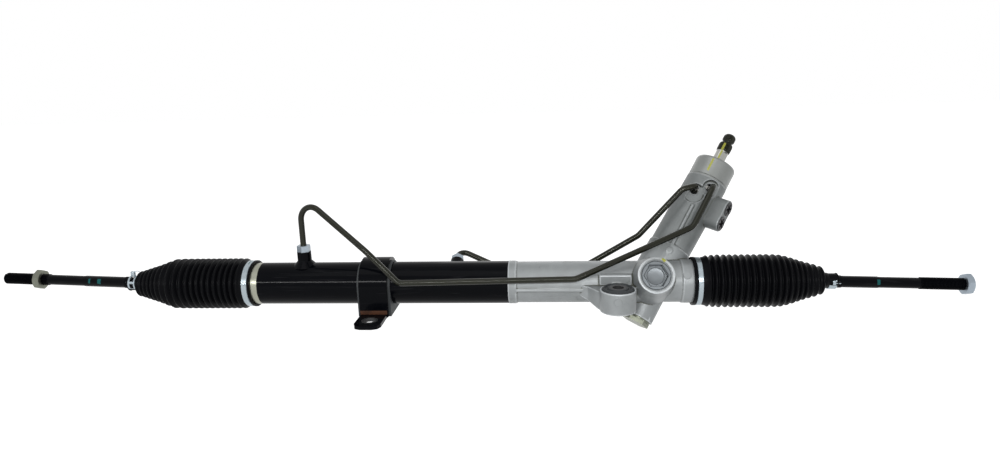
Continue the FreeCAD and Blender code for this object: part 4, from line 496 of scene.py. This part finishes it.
wears = {
    "tubeEnamel": ["cylinder_tube"],
    "blackEnamel": ["clamp_bracket"],
    "castSilver": ["pinion_housing"],
    "bareSteel": [
        "input_shaft", "rack_bar", "torsion_bar", "torsion_pin", "pinion", "piston",
        "lower_bearing", "middle_bearing", "valve_bearing", "valve_sleeve", "seal_stop_ring", "yoke_spring",
    ],
    "dullSteel": ["pinion_lock_nut", "left_lock_washer", "right_lock_washer",
                  "left_ball_socket", "right_ball_socket"],
    "darkSleeve": ["mount_bush_sleeve", "bracket_sleeves"],
    "plugOlive": ["lower_plug"],
    "clampZinc": ["left_large_clamp", "right_large_clamp", "left_small_clamp", "right_small_clamp"],
    "plugGrey": ["yoke_plug", "yoke"],
    "capGrey": ["valve_cap"],
    "oliveZinc": ["pipe_front", "pipe_rear"],
    "nutOlive": ["left_jam_nut"],
    "nutZinc": ["right_jam_nut", "pipe_nuts"],
    "paleSeal": ["dust_seal"],
    "bootRubber": ["left_boot", "right_boot"],
    "bushRubber": ["mount_bush_rubber", "bracket_rubber"],
    "sealRubber": ["yoke_seal_ring", "shaft_seal", "rack_seals", "sleeve_rings", "piston_ring"],
    "blackPlastic": ["hose_port_plugs"],
    "whitePlastic": ["left_ball_seat", "right_ball_seat"],
    "bronze": ["rack_bush"],
}
dressed = {node: name for name, members in wears.items() for node in members}
for name, node in nodes.items():
    mat = mats[dressed.get(name, "blackEnamel")]
    for slot in node.material_slots:
        slot.material = mat
    if not node.material_slots:
        node.data.materials.append(mat)
print("finishes are on the nodes")


def settle(name, bm, mat, smooth=True, angle=35):  # a shape in the making becomes a piece with its finish
    mesh = bpy.data.meshes.new(name)
    bm.to_mesh(mesh)
    bm.free()
    mesh.materials.append(mat)
    if smooth:
        mesh.shade_smooth()
        mesh.set_sharp_from_angle(angle=radians(angle))
    piece = bpy.data.objects.new(name, mesh)
    scene.collection.objects.link(piece)
    return piece


def turned(outline, place, steps=96, closed=True):  # outline of (along, radius) in mm, turned all round
    bm = bmesh.new()
    verts = [bm.verts.new((radius * mm, 0, along * mm)) for along, radius in outline]
    count = len(verts)
    edges = [bm.edges.new((verts[i], verts[(i + 1) % count])) for i in range(count if closed else count - 1)]
    bmesh.ops.spin(bm, geom=verts + edges, cent=(0, 0, 0), axis=(0, 0, 1), angle=2 * pi,
                   steps=steps, use_merge=True)
    bmesh.ops.remove_doubles(bm, verts=bm.verts, dist=1e-7)
    bmesh.ops.recalc_face_normals(bm, faces=bm.faces)
    bmesh.ops.transform(bm, matrix=place, verts=bm.verts)
    return bm


def joinRings(bm, rings):  # a skin from each ring of points to the next
    for one, two in zip(rings, rings[1:]):
        count = len(one)
        for k in range(count):
            bm.faces.new((one[k], one[(k + 1) % count], two[(k + 1) % count], two[k]))


# boots: stations of the ridges measured along the boot from the cuff's end
boots = {
    "left": {
        "cuff": -429.1, "way": -1, "clampAt": (2.8, 9.3), "cuffRadius": 27.0, "beadRadius": 28.0,
        "neckClamp": (31.3, 40.1),
        "ridges": [(14.8, 30.3), (21.8, 30.5), (28.6, 30.5), (35.3, 30.5), (42.3, 30.5), (49.3, 30.5),
                   (56.3, 30.5), (63.2, 30.5), (70.1, 30.5), (77.0, 30.5), (84.7, 30.5), (92.9, 30.5),
                   (101.6, 30.1), (110.2, 27.3), (117.6, 24.6), (124.2, 22.4), (130.0, 20.7), (135.9, 18.9),
                   (141.4, 17.2), (147.4, 15.6)],
    },
    "right": {
        "cuff": 87.2, "way": 1, "clampAt": (4.2, 9.8), "cuffRadius": 27.0, "beadRadius": 28.0,
        "neckClamp": (41.5, 50.3),
        "ridges": [(17.2, 29.6), (23.9, 30.2), (30.5, 30.5), (37.7, 30.5), (44.4, 30.5), (51.2, 30.5),
                   (58.1, 30.5), (65.1, 30.5), (71.9, 30.5), (79.1, 30.5), (85.7, 30.5), (93.0, 30.3),
                   (99.6, 29.8), (106.1, 28.4), (112.7, 26.4), (118.7, 24.3), (124.6, 22.4), (131.0, 20.6),
                   (137.6, 18.8), (144.6, 16.4)],
    },
}
bootFold = {
    "straight": 4.6, "last": 2.6, "taperFrom": 10, "taperOver": 8, "wall": 1.1,
    "neckRadius": 8.0, "innerNeck": 6.4, "neckRim": 1.4, "bendFrom": 12, "bendTo": 19,
    # a ridge's crest and a valley's floor: along the boot and outwards
    "crest": [(-1.45, -1.15), (-0.8, -0.32), (-0.3, -0.03), (0.3, -0.03), (0.8, -0.32), (1.45, -1.15)],
    "valley": [(-0.8, 0.45), (-0.3, 0.06), (0.3, 0.06), (0.8, 0.45)],
}


def bootOutline(p, ballAt):  # the outer line of a boot, then its inner line back
    ridges, fold = p["ridges"], bootFold
    (bandOn, bandOff), cuff, bead = p["clampAt"], p["cuffRadius"], p["beadRadius"]
    outer = [(0.2, cuff + 0.2), (0.0, bead - 0.4), (0.5, bead), (bandOn - 0.7, bead), (bandOn - 0.2, cuff + 0.3),
             (bandOn + 0.3, cuff), (bandOff + 0.2, cuff), (bandOff + 0.9, cuff + 0.25)]
    for i, (u, r) in enumerate(ridges):
        outer += [(u + a, r + b) for a, b in fold["crest"]]
        if i + 1 < len(ridges):
            nextU, nextR = ridges[i + 1]
            share = min(1, max(0, (i - fold["taperFrom"]) / fold["taperOver"]))
            depth = fold["straight"] + (fold["last"] - fold["straight"]) * share
            mid, low = (u + nextU) / 2, (r + nextR) / 2 - depth
            outer += [(mid + a, low + b) for a, b in fold["valley"]]
    ballU = abs(ballAt - p["cuff"])
    seat, shut = ballU + p["neckClamp"][0], ballU + p["neckClamp"][1]
    end, neck, bore = shut + fold["neckRim"], fold["neckRadius"], fold["innerNeck"]
    lastU, lastR = ridges[-1]
    outer += [(lastU + 2, lastR - 2.2), (lastU + 3, neck + 3.2), (lastU + 4, neck + 1.2), (seat - 0.5, neck + 0.6),
              (seat - 0.1, neck), (shut + 0.1, neck), (shut + 0.4, neck + 0.5), (end - 0.3, neck + 0.5),
              (end, neck + 0.2)]
    inner = [(u, r - fold["wall"]) for u, r in outer[7:] if u < lastU + 1.5]
    inner += [(lastU + 2.4, lastR - 4.2), (lastU + 4.2, bore + 0.6), (lastU + 5.6, bore), (end, bore)]
    inner.reverse()
    inner += [(bandOff + 0.4, cuff - 1.4), (0.4, cuff - 1.4)]
    return outer, inner


def cutOutline(outer, inner, start, stop):  # the closed wall between two stations
    def between(line, a, b):
        line = sorted(line)
        kept = [pt for pt in line if a < pt[0] < b]

        def at(u):
            for (u0, r0), (u1, r1) in zip(line, line[1:]):
                if u0 <= u <= u1 and u1 > u0:
                    return (u, r0 + (r1 - r0) * (u - u0) / (u1 - u0))
            return line[0] if u <= line[0][0] else line[-1]
        return [at(a)] + kept + [at(b)]
    return between(outer, start, stop) + between(inner, start, stop)[::-1]


def makeBoot(side, p):
    ball = jointPlace(side + "_ball_pitch")
    ballU = abs(ball.x / mm - p["cuff"])
    outer, inner = bootOutline(p, ball.x / mm)
    end = ballU + p["neckClamp"][1] + bootFold["neckRim"]
    place = frameAt(railPoint(p["cuff"]), (p["way"], 0, 0), (0, 0, 1))
    first, second = ballU + bootFold["bendFrom"], ballU + bootFold["bendTo"]
    parts = []
    for label, a, b in (("folds", -1, first), ("bend", first, second), ("neck", second, end + 1)):
        bm = turned(cutOutline(outer, inner, a, b), place)
        parts.append(settle(side + "_boot_" + label, bm, mats["bootRubber"], angle=50))
    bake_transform(parts[0])
    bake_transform(parts[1])
    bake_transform(parts[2])
    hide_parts(side + "_boot")


for side, values in boots.items():
    makeBoot(side, values)
print("boots are turned")


def rodWay(way, back, rise):  # where a rod points: degrees turned to the back and upwards
    back, rise = radians(back), radians(rise)
    return Vector((way * cos(rise) * cos(back), cos(rise) * sin(back), sin(rise)))


# tie rods with their real threads: stations from the ball's centre, outlines of (along, radius)
rodWays = {"left": rodWay(-1, -0.5, 2.5), "right": rodWay(1, 2, -2.2)}
rod = {
    "ball": 12.0, "ballSteps": 24, "ballEnd": 10.3, "neck": [(10.5, 5.8), (22, 5.8), (24, 6.3)],
    "collarAt": {"left": 42.1, "right": 52.3},
    "collar": [(0, 6.3), (0.3, 7), (0.8, 7.2), (4, 7.2), (4.6, 7), (5.3, 6.75)],
    "shankAt": 47.1, "shank": [(50.4, 6.75), (51.8, 6.3), (96.4, 6.3), (97.6, 6.1), (153.2, 6.1), (154.4, 5.0)],
    "threadFrom": 144.4, "threadTo": 201.2, "runOut": 1.4, "pitch": 1.5, "turnSteps": 20,
    "root": 6.1, "crest": 7.0, "sunk": 0.15, "rootHalf": 0.62, "crestHalf": 0.1,
}


def rodPiece(side, p):
    ball = jointPlace(side + "_ball_pitch")
    place = frameAt(ball, rodWays[side], (0, 0, 1))
    radius, steps = p["ball"], p["ballSteps"]
    dome = [(-radius * cos(pi * i / steps), radius * sin(pi * i / steps)) for i in range(1, steps + 1)]
    line = [(-radius, 0)] + [pt for pt in dome if pt[0] < p["ballEnd"]] + p["neck"]
    line += [(p["collarAt"][side] + a, r) for a, r in p["collar"]]
    line += [(p["shankAt"] + a, r) for a, r in p["shank"]] + [(p["shankAt"] + p["shank"][-1][0], 0)]
    bm = turned(line, place, steps=48, closed=False)
    core = settle(side + "_rod_core", bm, mats["rodEnamel"])
    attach(core, side + "_tie_rod")
    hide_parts(side + "_tie_rod")
    bm = bmesh.new()
    start, stop, pitch = p["threadFrom"], p["threadTo"], p["pitch"]
    foot, top = p["root"] - p["sunk"], p["crest"]
    section = [(-p["rootHalf"], foot), (-p["crestHalf"], top), (p["crestHalf"], top), (p["rootHalf"], foot)]
    verts = [bm.verts.new((r * mm, 0, (start + a) * mm)) for a, r in section]
    edges = [bm.edges.new((verts[i], verts[(i + 1) % 4])) for i in range(4)]
    face = bm.faces.new(verts)
    rounds = (stop - start - p["runOut"]) / pitch
    steps = int(rounds * p["turnSteps"])
    bmesh.ops.spin(bm, geom=[face] + verts + edges, cent=(0, 0, 0), axis=(0, 0, 1), angle=2 * pi * rounds,
                   steps=steps, dvec=(0, 0, pitch * rounds / steps * mm))
    bmesh.ops.recalc_face_normals(bm, faces=bm.faces)
    bmesh.ops.transform(bm, matrix=place, verts=bm.verts)
    thread = settle(side + "_rod_thread", bm, mats["rodEnamel"], angle=25)
    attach(thread, side + "_tie_rod")


mats["rodEnamel"] = finish("rodEnamel", finishes["blackEnamel"])
for side in ("left", "right"):
    rodPiece(side, rod)
print("tie rods are cut")


# band clamps, in a frame whose z runs along the boot and whose x points up
def arcPart(bm, radii, span, arc, front, chamfer=0.15):  # a closed bent strip, its arc in degrees from the top
    (low, high), (a, b), c = radii, span, chamfer
    section = [(a + c, low), (b - c, low), (b, low + c), (b, high - c), (b - c, high), (a + c, high), (a, high - c),
               (a, low + c)]
    start = Matrix.Rotation(radians(arc[0]) * front, 4, "Z")
    verts = [bm.verts.new(start @ Vector((r * mm, 0, z * mm))) for z, r in section]
    face = bm.faces.new(verts)
    turn = radians(arc[1] - arc[0])
    bmesh.ops.spin(bm, geom=[face] + verts + list(face.edges), cent=(0, 0, 0), axis=(0, 0, 1), angle=turn * front,
                   steps=max(2, int(abs(turn) / radians(5))))


def ringPart(bm, radii, span, front):  # a whole band, in two halves
    for arc in ((0, 180), (180, 360)):
        arcPart(bm, radii, span, arc, front)


def blockPart(bm, size, place, edge=0.25):  # a small block with softened edges
    made = bmesh.ops.create_cube(bm, size=1)["verts"]
    bmesh.ops.scale(bm, vec=[s * mm for s in size], verts=made)
    edges = list(dict.fromkeys(e for v in made for e in v.link_edges))
    soft = bmesh.ops.bevel(bm, geom=edges, offset=edge * mm, offset_type="OFFSET", segments=2, profile=0.5,
                           affect="EDGES", clamp_overlap=True, material=-1)
    verts = {v for v in made if v.is_valid} | {v for f in soft["faces"] for v in f.verts}
    bmesh.ops.transform(bm, matrix=place, verts=list(verts))


def wirePart(bm, points, radius, sides=8):  # a closed round wire through the points
    turns = [2 * pi * k / sides for k in range(sides)]
    rings = []
    for i, here in enumerate(points):
        before, after = points[max(0, i - 1)], points[min(len(points) - 1, i + 1)]
        place = frameAt(here, after - before, (0.31, 0.87, 0.38))
        rings.append([bm.verts.new(place @ Vector((radius * cos(turn), radius * sin(turn), 0))) for turn in turns])
    joinRings(bm, rings)
    bm.faces.new(rings[0])
    bm.faces.new(rings[-1])


def onBand(radius, along, degrees, front):  # a frame on a band: z outwards, x along the boot
    turn = radians(degrees) * front
    out = Vector((cos(turn), sin(turn), 0))
    return frameAt(out * radius * mm + Vector((0, 0, along * mm)), out, (0, 0, 1))


def putClamp(name, bm, place, body, node):
    bmesh.ops.recalc_face_normals(bm, faces=bm.faces)
    bmesh.ops.transform(bm, matrix=place, verts=bm.verts)
    piece = settle(name, bm, mats["clampZinc"], angle=30)
    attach(piece, body)
    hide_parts(node)


largeClamp = {
    "inner": 27.02, "band": 0.85, "lap": (28, 128), "lapThick": 0.6, "lapInset": 0.25,
    # hooks and dimples: size, middle above the band, share of the width, degrees from the top
    "blocks": [((2.6, 4.6, 1), 0.8, 0.58, 74), ((1.1, 1.6, 0.9), 1.4, 0.4, 77),
               ((1.2, 2, 0.6), 0.75, 0.3, 43), ((1.2, 2, 0.6), 0.75, 0.72, 43)],
}


def makeLargeClamp(side, p):
    boot = boots[side]
    way, (start, stop) = boot["way"], boot["clampAt"]
    place = frameAt(railPoint(boot["cuff"] + way * start), (way, 0, 0), (0, 0, 1))
    low, high, width, inset = p["inner"], p["inner"] + p["band"], stop - start, p["lapInset"]
    bm = bmesh.new()
    ringPart(bm, (low, high), (0, width), way)
    # the strip's free end lies over the band
    arcPart(bm, (high, high + p["lapThick"]), (inset, width - inset), p["lap"], way)
    for size, lift, share, degrees in p["blocks"]:
        blockPart(bm, size, onBand(high + lift, width * share, degrees, way))
    putClamp(side + "_band_large", bm, place, "housing", side + "_large_clamp")


smallClamp = {
    "inner": 8.02, "band": 0.75, "width": 8.8, "wireRadius": 0.5,
    # the left one: windows in degrees, rims, a tang over a bent wire
    "windows": [(11, 66), (84, 127)], "rims": (1.9, 6.5), "inset": 0.05, "overlap": 0.2,
    "tang": ((5, 3.2, 6), 2.6, 5.4, 0), "wire": [(4.6, 13.2), (3, 14.5), (1, 15), (-1.2, 15), (-3, 14.6)],
    # the right one: a lap, two blocks and the wire's tail; blocks as size, lift, along, degrees
    "lap": (-60, 80), "lapThick": 0.5, "blocks": [((3.4, 5, 1.5), 0.9, 4.6, 84), ((1.4, 1.4, 2), 1.4, 6.6, 70)],
    "tail": (5.5, 8, 10.4, 12), "tailLift": 0.7, "tailAt": 87,
}


def makeSmallClamp(side, p):
    boot = boots[side]
    way, start = boot["way"], boot["neckClamp"][0]
    place = frameAt(jointPlace(side + "_ball_pitch") + rodWays[side] * start * mm, rodWays[side], (0, 0, 1))
    low, high, width = p["inner"], p["inner"] + p["band"], p["width"]
    bm = bmesh.new()
    if side == "left":
        near, far = p["rims"]
        ringPart(bm, (low, high), (0, near), way)
        ringPart(bm, (low, high), (far, width), way)
        (a, b), (c, d) = p["windows"]
        for arc in ((d, 360 + a), (b, c)):
            arcPart(bm, (low + p["inset"], high - p["inset"]), (near - p["overlap"], far + p["overlap"]), arc, way)
        blocks = [p["tang"]]
        wire = [Vector((r * mm, 0, z * mm)) for z, r in p["wire"]]
    else:
        ringPart(bm, (low, high), (0, width), way)
        arcPart(bm, (high, high + p["lapThick"]), (0.5, width - 0.5), p["lap"], way)
        blocks = p["blocks"]
        wire = [onBand(high + p["tailLift"], z, p["tailAt"], way).translation for z in p["tail"]]
    for size, lift, along, degrees in blocks:
        blockPart(bm, size, onBand(high + lift, along, degrees, way))
    wirePart(bm, wire, p["wireRadius"] * mm)
    putClamp(side + "_band_small", bm, place, side + "_swing", side + "_small_clamp")


for side in ("left", "right"):
    makeLargeClamp(side, largeClamp)
    makeSmallClamp(side, smallClamp)
print("clamps are bent")

# input shaft: stations along the pinion's axis from the rack, mm
shaft = {
    "outline": [(89.05, 3.56), (207.7, 3.56), (207.7, 3.9), (207.4, 4.8), (206.8, 5.7), (205.8, 6.6), (204.7, 7.1),
                (203.6, 7.4), (199.2, 7.4), (198.2, 6.9), (197.2, 6), (196.6, 5.8), (196.0, 5.8), (195.4, 6.5),
                (194.5, 7.6), (193.4, 8.1), (191.9, 8.3), (186, 8.3), (184.2, 8), (183.2, 7.4), (181.7, 7.3),
                (170.3, 7.3), (151.6, 7.3), (151.6, 8.98), (133.6, 8.98), (133.6, 11), (89.05, 11)],
    "bands": [(184.1, 193.5), (199.1, 203.7)], "teeth": 36, "depth": 0.5, "toothFoot": 6.9, "stepsPerTooth": 4,
    "flatZone": (170.2, 181.8), "flatHalf": 6.0, "flatRound": 5, "loopAt": 181.75, "changeAt": 182.5,
}


def makeShaft(p):
    around = p["teeth"] * p["stepsPerTooth"]
    bm = turned(p["outline"], Matrix.Identity(4), steps=around)
    bmesh.ops.bisect_plane(bm, geom=bm.verts[:] + bm.edges[:] + bm.faces[:],
                           plane_co=(0, 0, p["loopAt"] * mm), plane_no=(0, 0, 1))
    outward = sideWay * -0.5 + frontWay * 0.866
    place = frameAt(shaftFoot, shaftWay, outward)
    half = p["flatHalf"] * mm
    for v in bm.verts:
        along, radius = v.co.z / mm, v.co.xy.length / mm
        if p["flatZone"][0] <= along <= p["flatZone"][1] and radius > p["flatRound"]:
            v.co.x = max(-half, min(half, v.co.x))
        for low, high in p["bands"]:
            if low <= along <= high and radius > p["toothFoot"]:
                step = round((Vector((1, 0)).angle_signed(v.co.xy) % (2 * pi)) / (2 * pi) * around)
                if step % p["stepsPerTooth"] in (0, 1):
                    v.co.xy *= 1 - p["depth"] / radius
    for f in bm.faces:
        f.material_index = 1 if f.calc_center_median().z > p["changeAt"] * mm else 0
    bmesh.ops.recalc_face_normals(bm, faces=bm.faces)
    bmesh.ops.transform(bm, matrix=place, verts=bm.verts)
    piece = settle("input_shaft_cut", bm, mats["bareSteel"], angle=28)
    piece.data.materials.append(mats["shaftOlive"])
    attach(piece, "input_shaft")
    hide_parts("input_shaft")


mats["shaftOlive"] = finish("shaftOlive", finishes["oliveZinc"])
makeShaft(shaft)
print("input shaft is cut")


# paint strokes and wipes, masked by place
def strokeGroup():
    group, start, end = newGroup(
        "paintStroke",
        [("Foot", "Vector", (0, 0, 0)), ("Along", "Vector", (1, 0, 0)), ("Across", "Vector", (0, 1, 0)),
         ("Facing", "Vector", (0, 0, 1)), ("Half Length", "Float", 0.01), ("Half Width", "Float", 0.001)],
        ["Mask"],
    )
    n, link = group.nodes, group.links.new
    place = addNode(n, "TexCoord")
    ragged = addNode(n, "TexNoise", {"Scale": 900, "Detail": 3})
    offset = addNode(n, "VectorMath", operation="SUBTRACT")
    link(place.outputs["Object"], offset.inputs[0])
    link(start.outputs["Foot"], offset.inputs[1])
    link(place.outputs["Object"], ragged.inputs["Vector"])
    masks = []
    for way, half in (("Along", "Half Length"), ("Across", "Half Width")):
        reach = addNode(n, "VectorMath", operation="DOT_PRODUCT")
        size = addNode(n, "Math", operation="ABSOLUTE")
        share = addNode(n, "Math", operation="DIVIDE")
        rough = addNode(n, "Math", {1: 0.5}, operation="MULTIPLY_ADD")
        keep = addNode(n, "MapRange", {"From Min": 1.3, "From Max": 1.1})
        link(offset.outputs[0], reach.inputs[0])
        link(start.outputs[way], reach.inputs[1])
        link(reach.outputs["Value"], size.inputs[0])
        link(size.outputs[0], share.inputs[0])
        link(start.outputs[half], share.inputs[1])
        link(ragged.outputs["Fac"], rough.inputs[0])
        link(share.outputs[0], rough.inputs[2])
        link(rough.outputs[0], keep.inputs["Value"])
        masks.append(keep.outputs[0])
    front = addNode(n, "VectorMath", operation="DOT_PRODUCT")
    ahead = addNode(n, "Math", {1: 0}, operation="GREATER_THAN")
    link(offset.outputs[0], front.inputs[0])
    link(start.outputs["Facing"], front.inputs[1])
    link(front.outputs["Value"], ahead.inputs[0])
    both = addNode(n, "Math", operation="MULTIPLY")
    link(masks[0], both.inputs[0])
    link(masks[1], both.inputs[1])
    last = addNode(n, "Math", operation="MULTIPLY")
    link(both.outputs[0], last.inputs[0])
    link(ahead.outputs[0], last.inputs[1])
    link(last.outputs[0], end.inputs["Mask"])
    return group


stroke = strokeGroup()
yellowPaint, tealPaint = (0.4, 0.4, 0.06), (0.015, 0.12, 0.12)


# foot is a point inside the surface, facing the way the painted side looks
def paint(mat, colour, foot, along, facing, half, width):
    along, facing = Vector(along).normalized(), Vector(facing).normalized()
    group = addNode(mat.node_tree.nodes, "Group", {
        "Foot": foot, "Along": along, "Across": along.cross(facing), "Facing": facing,
        "Half Length": half * mm, "Half Width": width * mm,
    }, node_tree=stroke)
    overlay(mat, group.outputs["Mask"], {"Base Color": (*colour, 1), "Metallic": 0.0})


def towerWay(degrees):  # degrees from the tower's front towards its left
    return frontWay * cos(radians(degrees)) + sideWay * sin(radians(degrees))


paint(mats["capGrey"], yellowPaint, shaftFoot + shaftWay * 154.5 * mm, shaftWay, towerWay(17), 8.6, 1.3)
paint(mats["bareSteel"], yellowPaint, shaftFoot + shaftWay * 176 * mm, shaftWay, towerWay(14), 7, 1.2)
paint(mats["shaftOlive"], yellowPaint, shaftFoot + shaftWay * 188 * mm, shaftWay, towerWay(18), 5, 1.4)
for side, station, half in (("left", 90, 1.2), ("left", 77.5, 2.2), ("right", 97, 1.8)):
    spot = jointPlace(side + "_ball_pitch") + rodWays[side] * station * mm
    paint(mats["rodEnamel"], tealPaint, spot, rodWays[side], (0, -0.95, 0.3), half, 3.2)
bossDot, bossWay = Vector((50.4, 12.5, 55.2)) * mm, Vector((1, 0.4, 0.85)).normalized()
paint(mats["castSilver"], yellowPaint, bossDot, bossWay, frontWay, 1.5, 2.6)
paint(mats["clampZinc"], tealPaint, railPoint(-435), (0, 1, 0), (0, 0, 1), 9, 0.8)
print("paint marks are on")

# bracket: flush sleeves in the ears, a rusty strip at the strap's foot
bracket = {
    "x": -280, "earTop": -9, "ears": (-3, 99), "steps": 48,
    "sleeve": [(-4, 6.75), (-3.5, 6.25), (-0.5, 6.25), (0.15, 6.9), (0.15, 9.2), (-0.1, 9.45), (-4, 9.45)],
    "strip": (31.6, 1.5, 4.6), "stripAt": (16.7, -6.8),
}


def makeBracket(p):
    turns = [2 * pi * k / p["steps"] for k in range(p["steps"])]
    bm = bmesh.new()
    for y in p["ears"]:
        rings = []
        for height, radius in p["sleeve"]:
            rings.append([bm.verts.new(((p["x"] + radius * cos(turn)) * mm, (y + radius * sin(turn)) * mm,
                                        (p["earTop"] + height) * mm)) for turn in turns])
        joinRings(bm, rings + rings[:1])
    bmesh.ops.recalc_face_normals(bm, faces=bm.faces)
    sleeves = settle("bracket_sleeves_turned", bm, mats["darkSleeve"], angle=30)
    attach(sleeves, "housing")
    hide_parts("bracket_sleeves")
    bm = bmesh.new()
    y, z = p["stripAt"]
    blockPart(bm, p["strip"], Matrix.Translation((p["x"] * mm, y * mm, z * mm)))
    strip = settle("bracket_rusty_strip", bm, mats["rustFilm"], angle=30)
    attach(strip, "housing")


makeBracket(bracket)
print("bracket has its sleeves")

# yoke plug: loops of points at (radius, height), as circles or as the key's hexagon
yokePlug = {
    "loops": [("round", 9, 38.3), ("round", 9, 33.3), ("round", 15.95, 33.3), ("round", 15.95, 46.9),
              ("round", 15.3, 47.6), ("hex", 12.2, 47.6), ("hex", 11.5, 46.9), ("hex", 11.5, 40.9),
              ("hex", 11.2, 40.6), ("round", 9.7, 40.6), ("round", 9.2, 39.9), ("round", 7.5, 39.6),
              ("round", 3, 39.5)],
    "x": 42, "steps": 48,
}


def makeYokePlug(p):
    bm = bmesh.new()
    rings = []
    for kind, radius, height in p["loops"]:
        ring = []
        for k in range(p["steps"]):
            turn = 2 * pi * k / p["steps"]
            reach = radius
            if kind == "hex":  # radius is half the width across the flats
                reach = radius / cos((turn % (pi / 3)) - pi / 6)
            ring.append(bm.verts.new((reach * cos(turn) * mm, reach * sin(turn) * mm, height * mm)))
        rings.append(ring)
    joinRings(bm, rings)
    bm.faces.new(rings[0])
    bm.faces.new(rings[-1])
    bmesh.ops.recalc_face_normals(bm, faces=bm.faces)
    bmesh.ops.transform(bm, matrix=frameAt(railPoint(p["x"]), frontWay, (1, 0, 0)), verts=bm.verts)
    piece = settle("yoke_plug_turned", bm, mats["plugGrey"], angle=30)
    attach(piece, "housing")
    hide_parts("yoke_plug")


makeYokePlug(yokePlug)
print("yoke plug is turned")

# casting: the housing with soft cast edges
casting = {"voxel": 0.8, "relax": 2, "relaxShare": 0.5, "keep": 190000}


def softCasting(p):
    source = nodes["pinion_housing"]
    bm = bmesh.new()
    bm.from_mesh(source.data)
    bmesh.ops.remove_doubles(bm, verts=bm.verts, dist=1e-6)
    piece = settle("cast_housing", bm, mats["castSilver"], smooth=False)
    remesh = piece.modifiers.new("skin", "REMESH")
    remesh.mode, remesh.voxel_size = "VOXEL", p["voxel"] * mm
    relax = piece.modifiers.new("relax", "SMOOTH")
    relax.factor, relax.iterations = p["relaxShare"], p["relax"]
    depsgraph = bpy.context.evaluated_depsgraph_get()
    dense = sum(len(f.vertices) - 2 for f in piece.evaluated_get(depsgraph).data.polygons)
    thin = piece.modifiers.new("thin", "DECIMATE")
    thin.ratio = min(1, p["keep"] / dense)
    depsgraph = bpy.context.evaluated_depsgraph_get()
    mesh = bpy.data.meshes.new_from_object(piece.evaluated_get(depsgraph))
    piece.modifiers.clear()
    old = piece.data
    piece.data = mesh
    bpy.data.meshes.remove(old)
    mesh.name = "cast_housing"
    mesh.shade_smooth()
    print("casting has", len(mesh.polygons), "faces")
    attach(piece, "housing")
    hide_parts("pinion_housing")


softCasting(casting)

# round ejector marks on the casting, barely proud
mats["castMark"] = finish("castMark", {**finishes["castSilver"], "hollow": 0, "dirt": 0.3})
ejectors = {
    "radius": 4.5, "proud": 0.5, "steps": 40, "foot": -1, "lip": 0.15, "rim": 0.5, "dish": 0.2,
    "places": [((-1.7, -19.9, 17), (0, -1, 0)), ((79.5, 26.7, 33.3), (0, -0.848, 0.53))],
}


def makeEjectors(p):
    r, top, lip, dish = p["radius"], p["proud"], p["lip"], p["dish"]
    line = [(p["foot"], 0), (p["foot"], r), (top - lip, r), (top, r - lip), (top, r - p["rim"]),
            (top - dish, r - p["rim"] - dish), (top - dish, 0)]
    bm = bmesh.new()
    for spot, out in p["places"]:
        part = turned(line, frameAt(Vector(spot) * mm, out, (1, 0, 0)), steps=p["steps"], closed=False)
        mesh = bpy.data.meshes.new("markPart")
        part.to_mesh(mesh)
        part.free()
        bm.from_mesh(mesh)
        bpy.data.meshes.remove(mesh)
    piece = settle("cast_ejector_marks", bm, mats["castMark"], angle=40)
    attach(piece, "housing")


makeEjectors(ejectors)
print("marks stand on the casting")
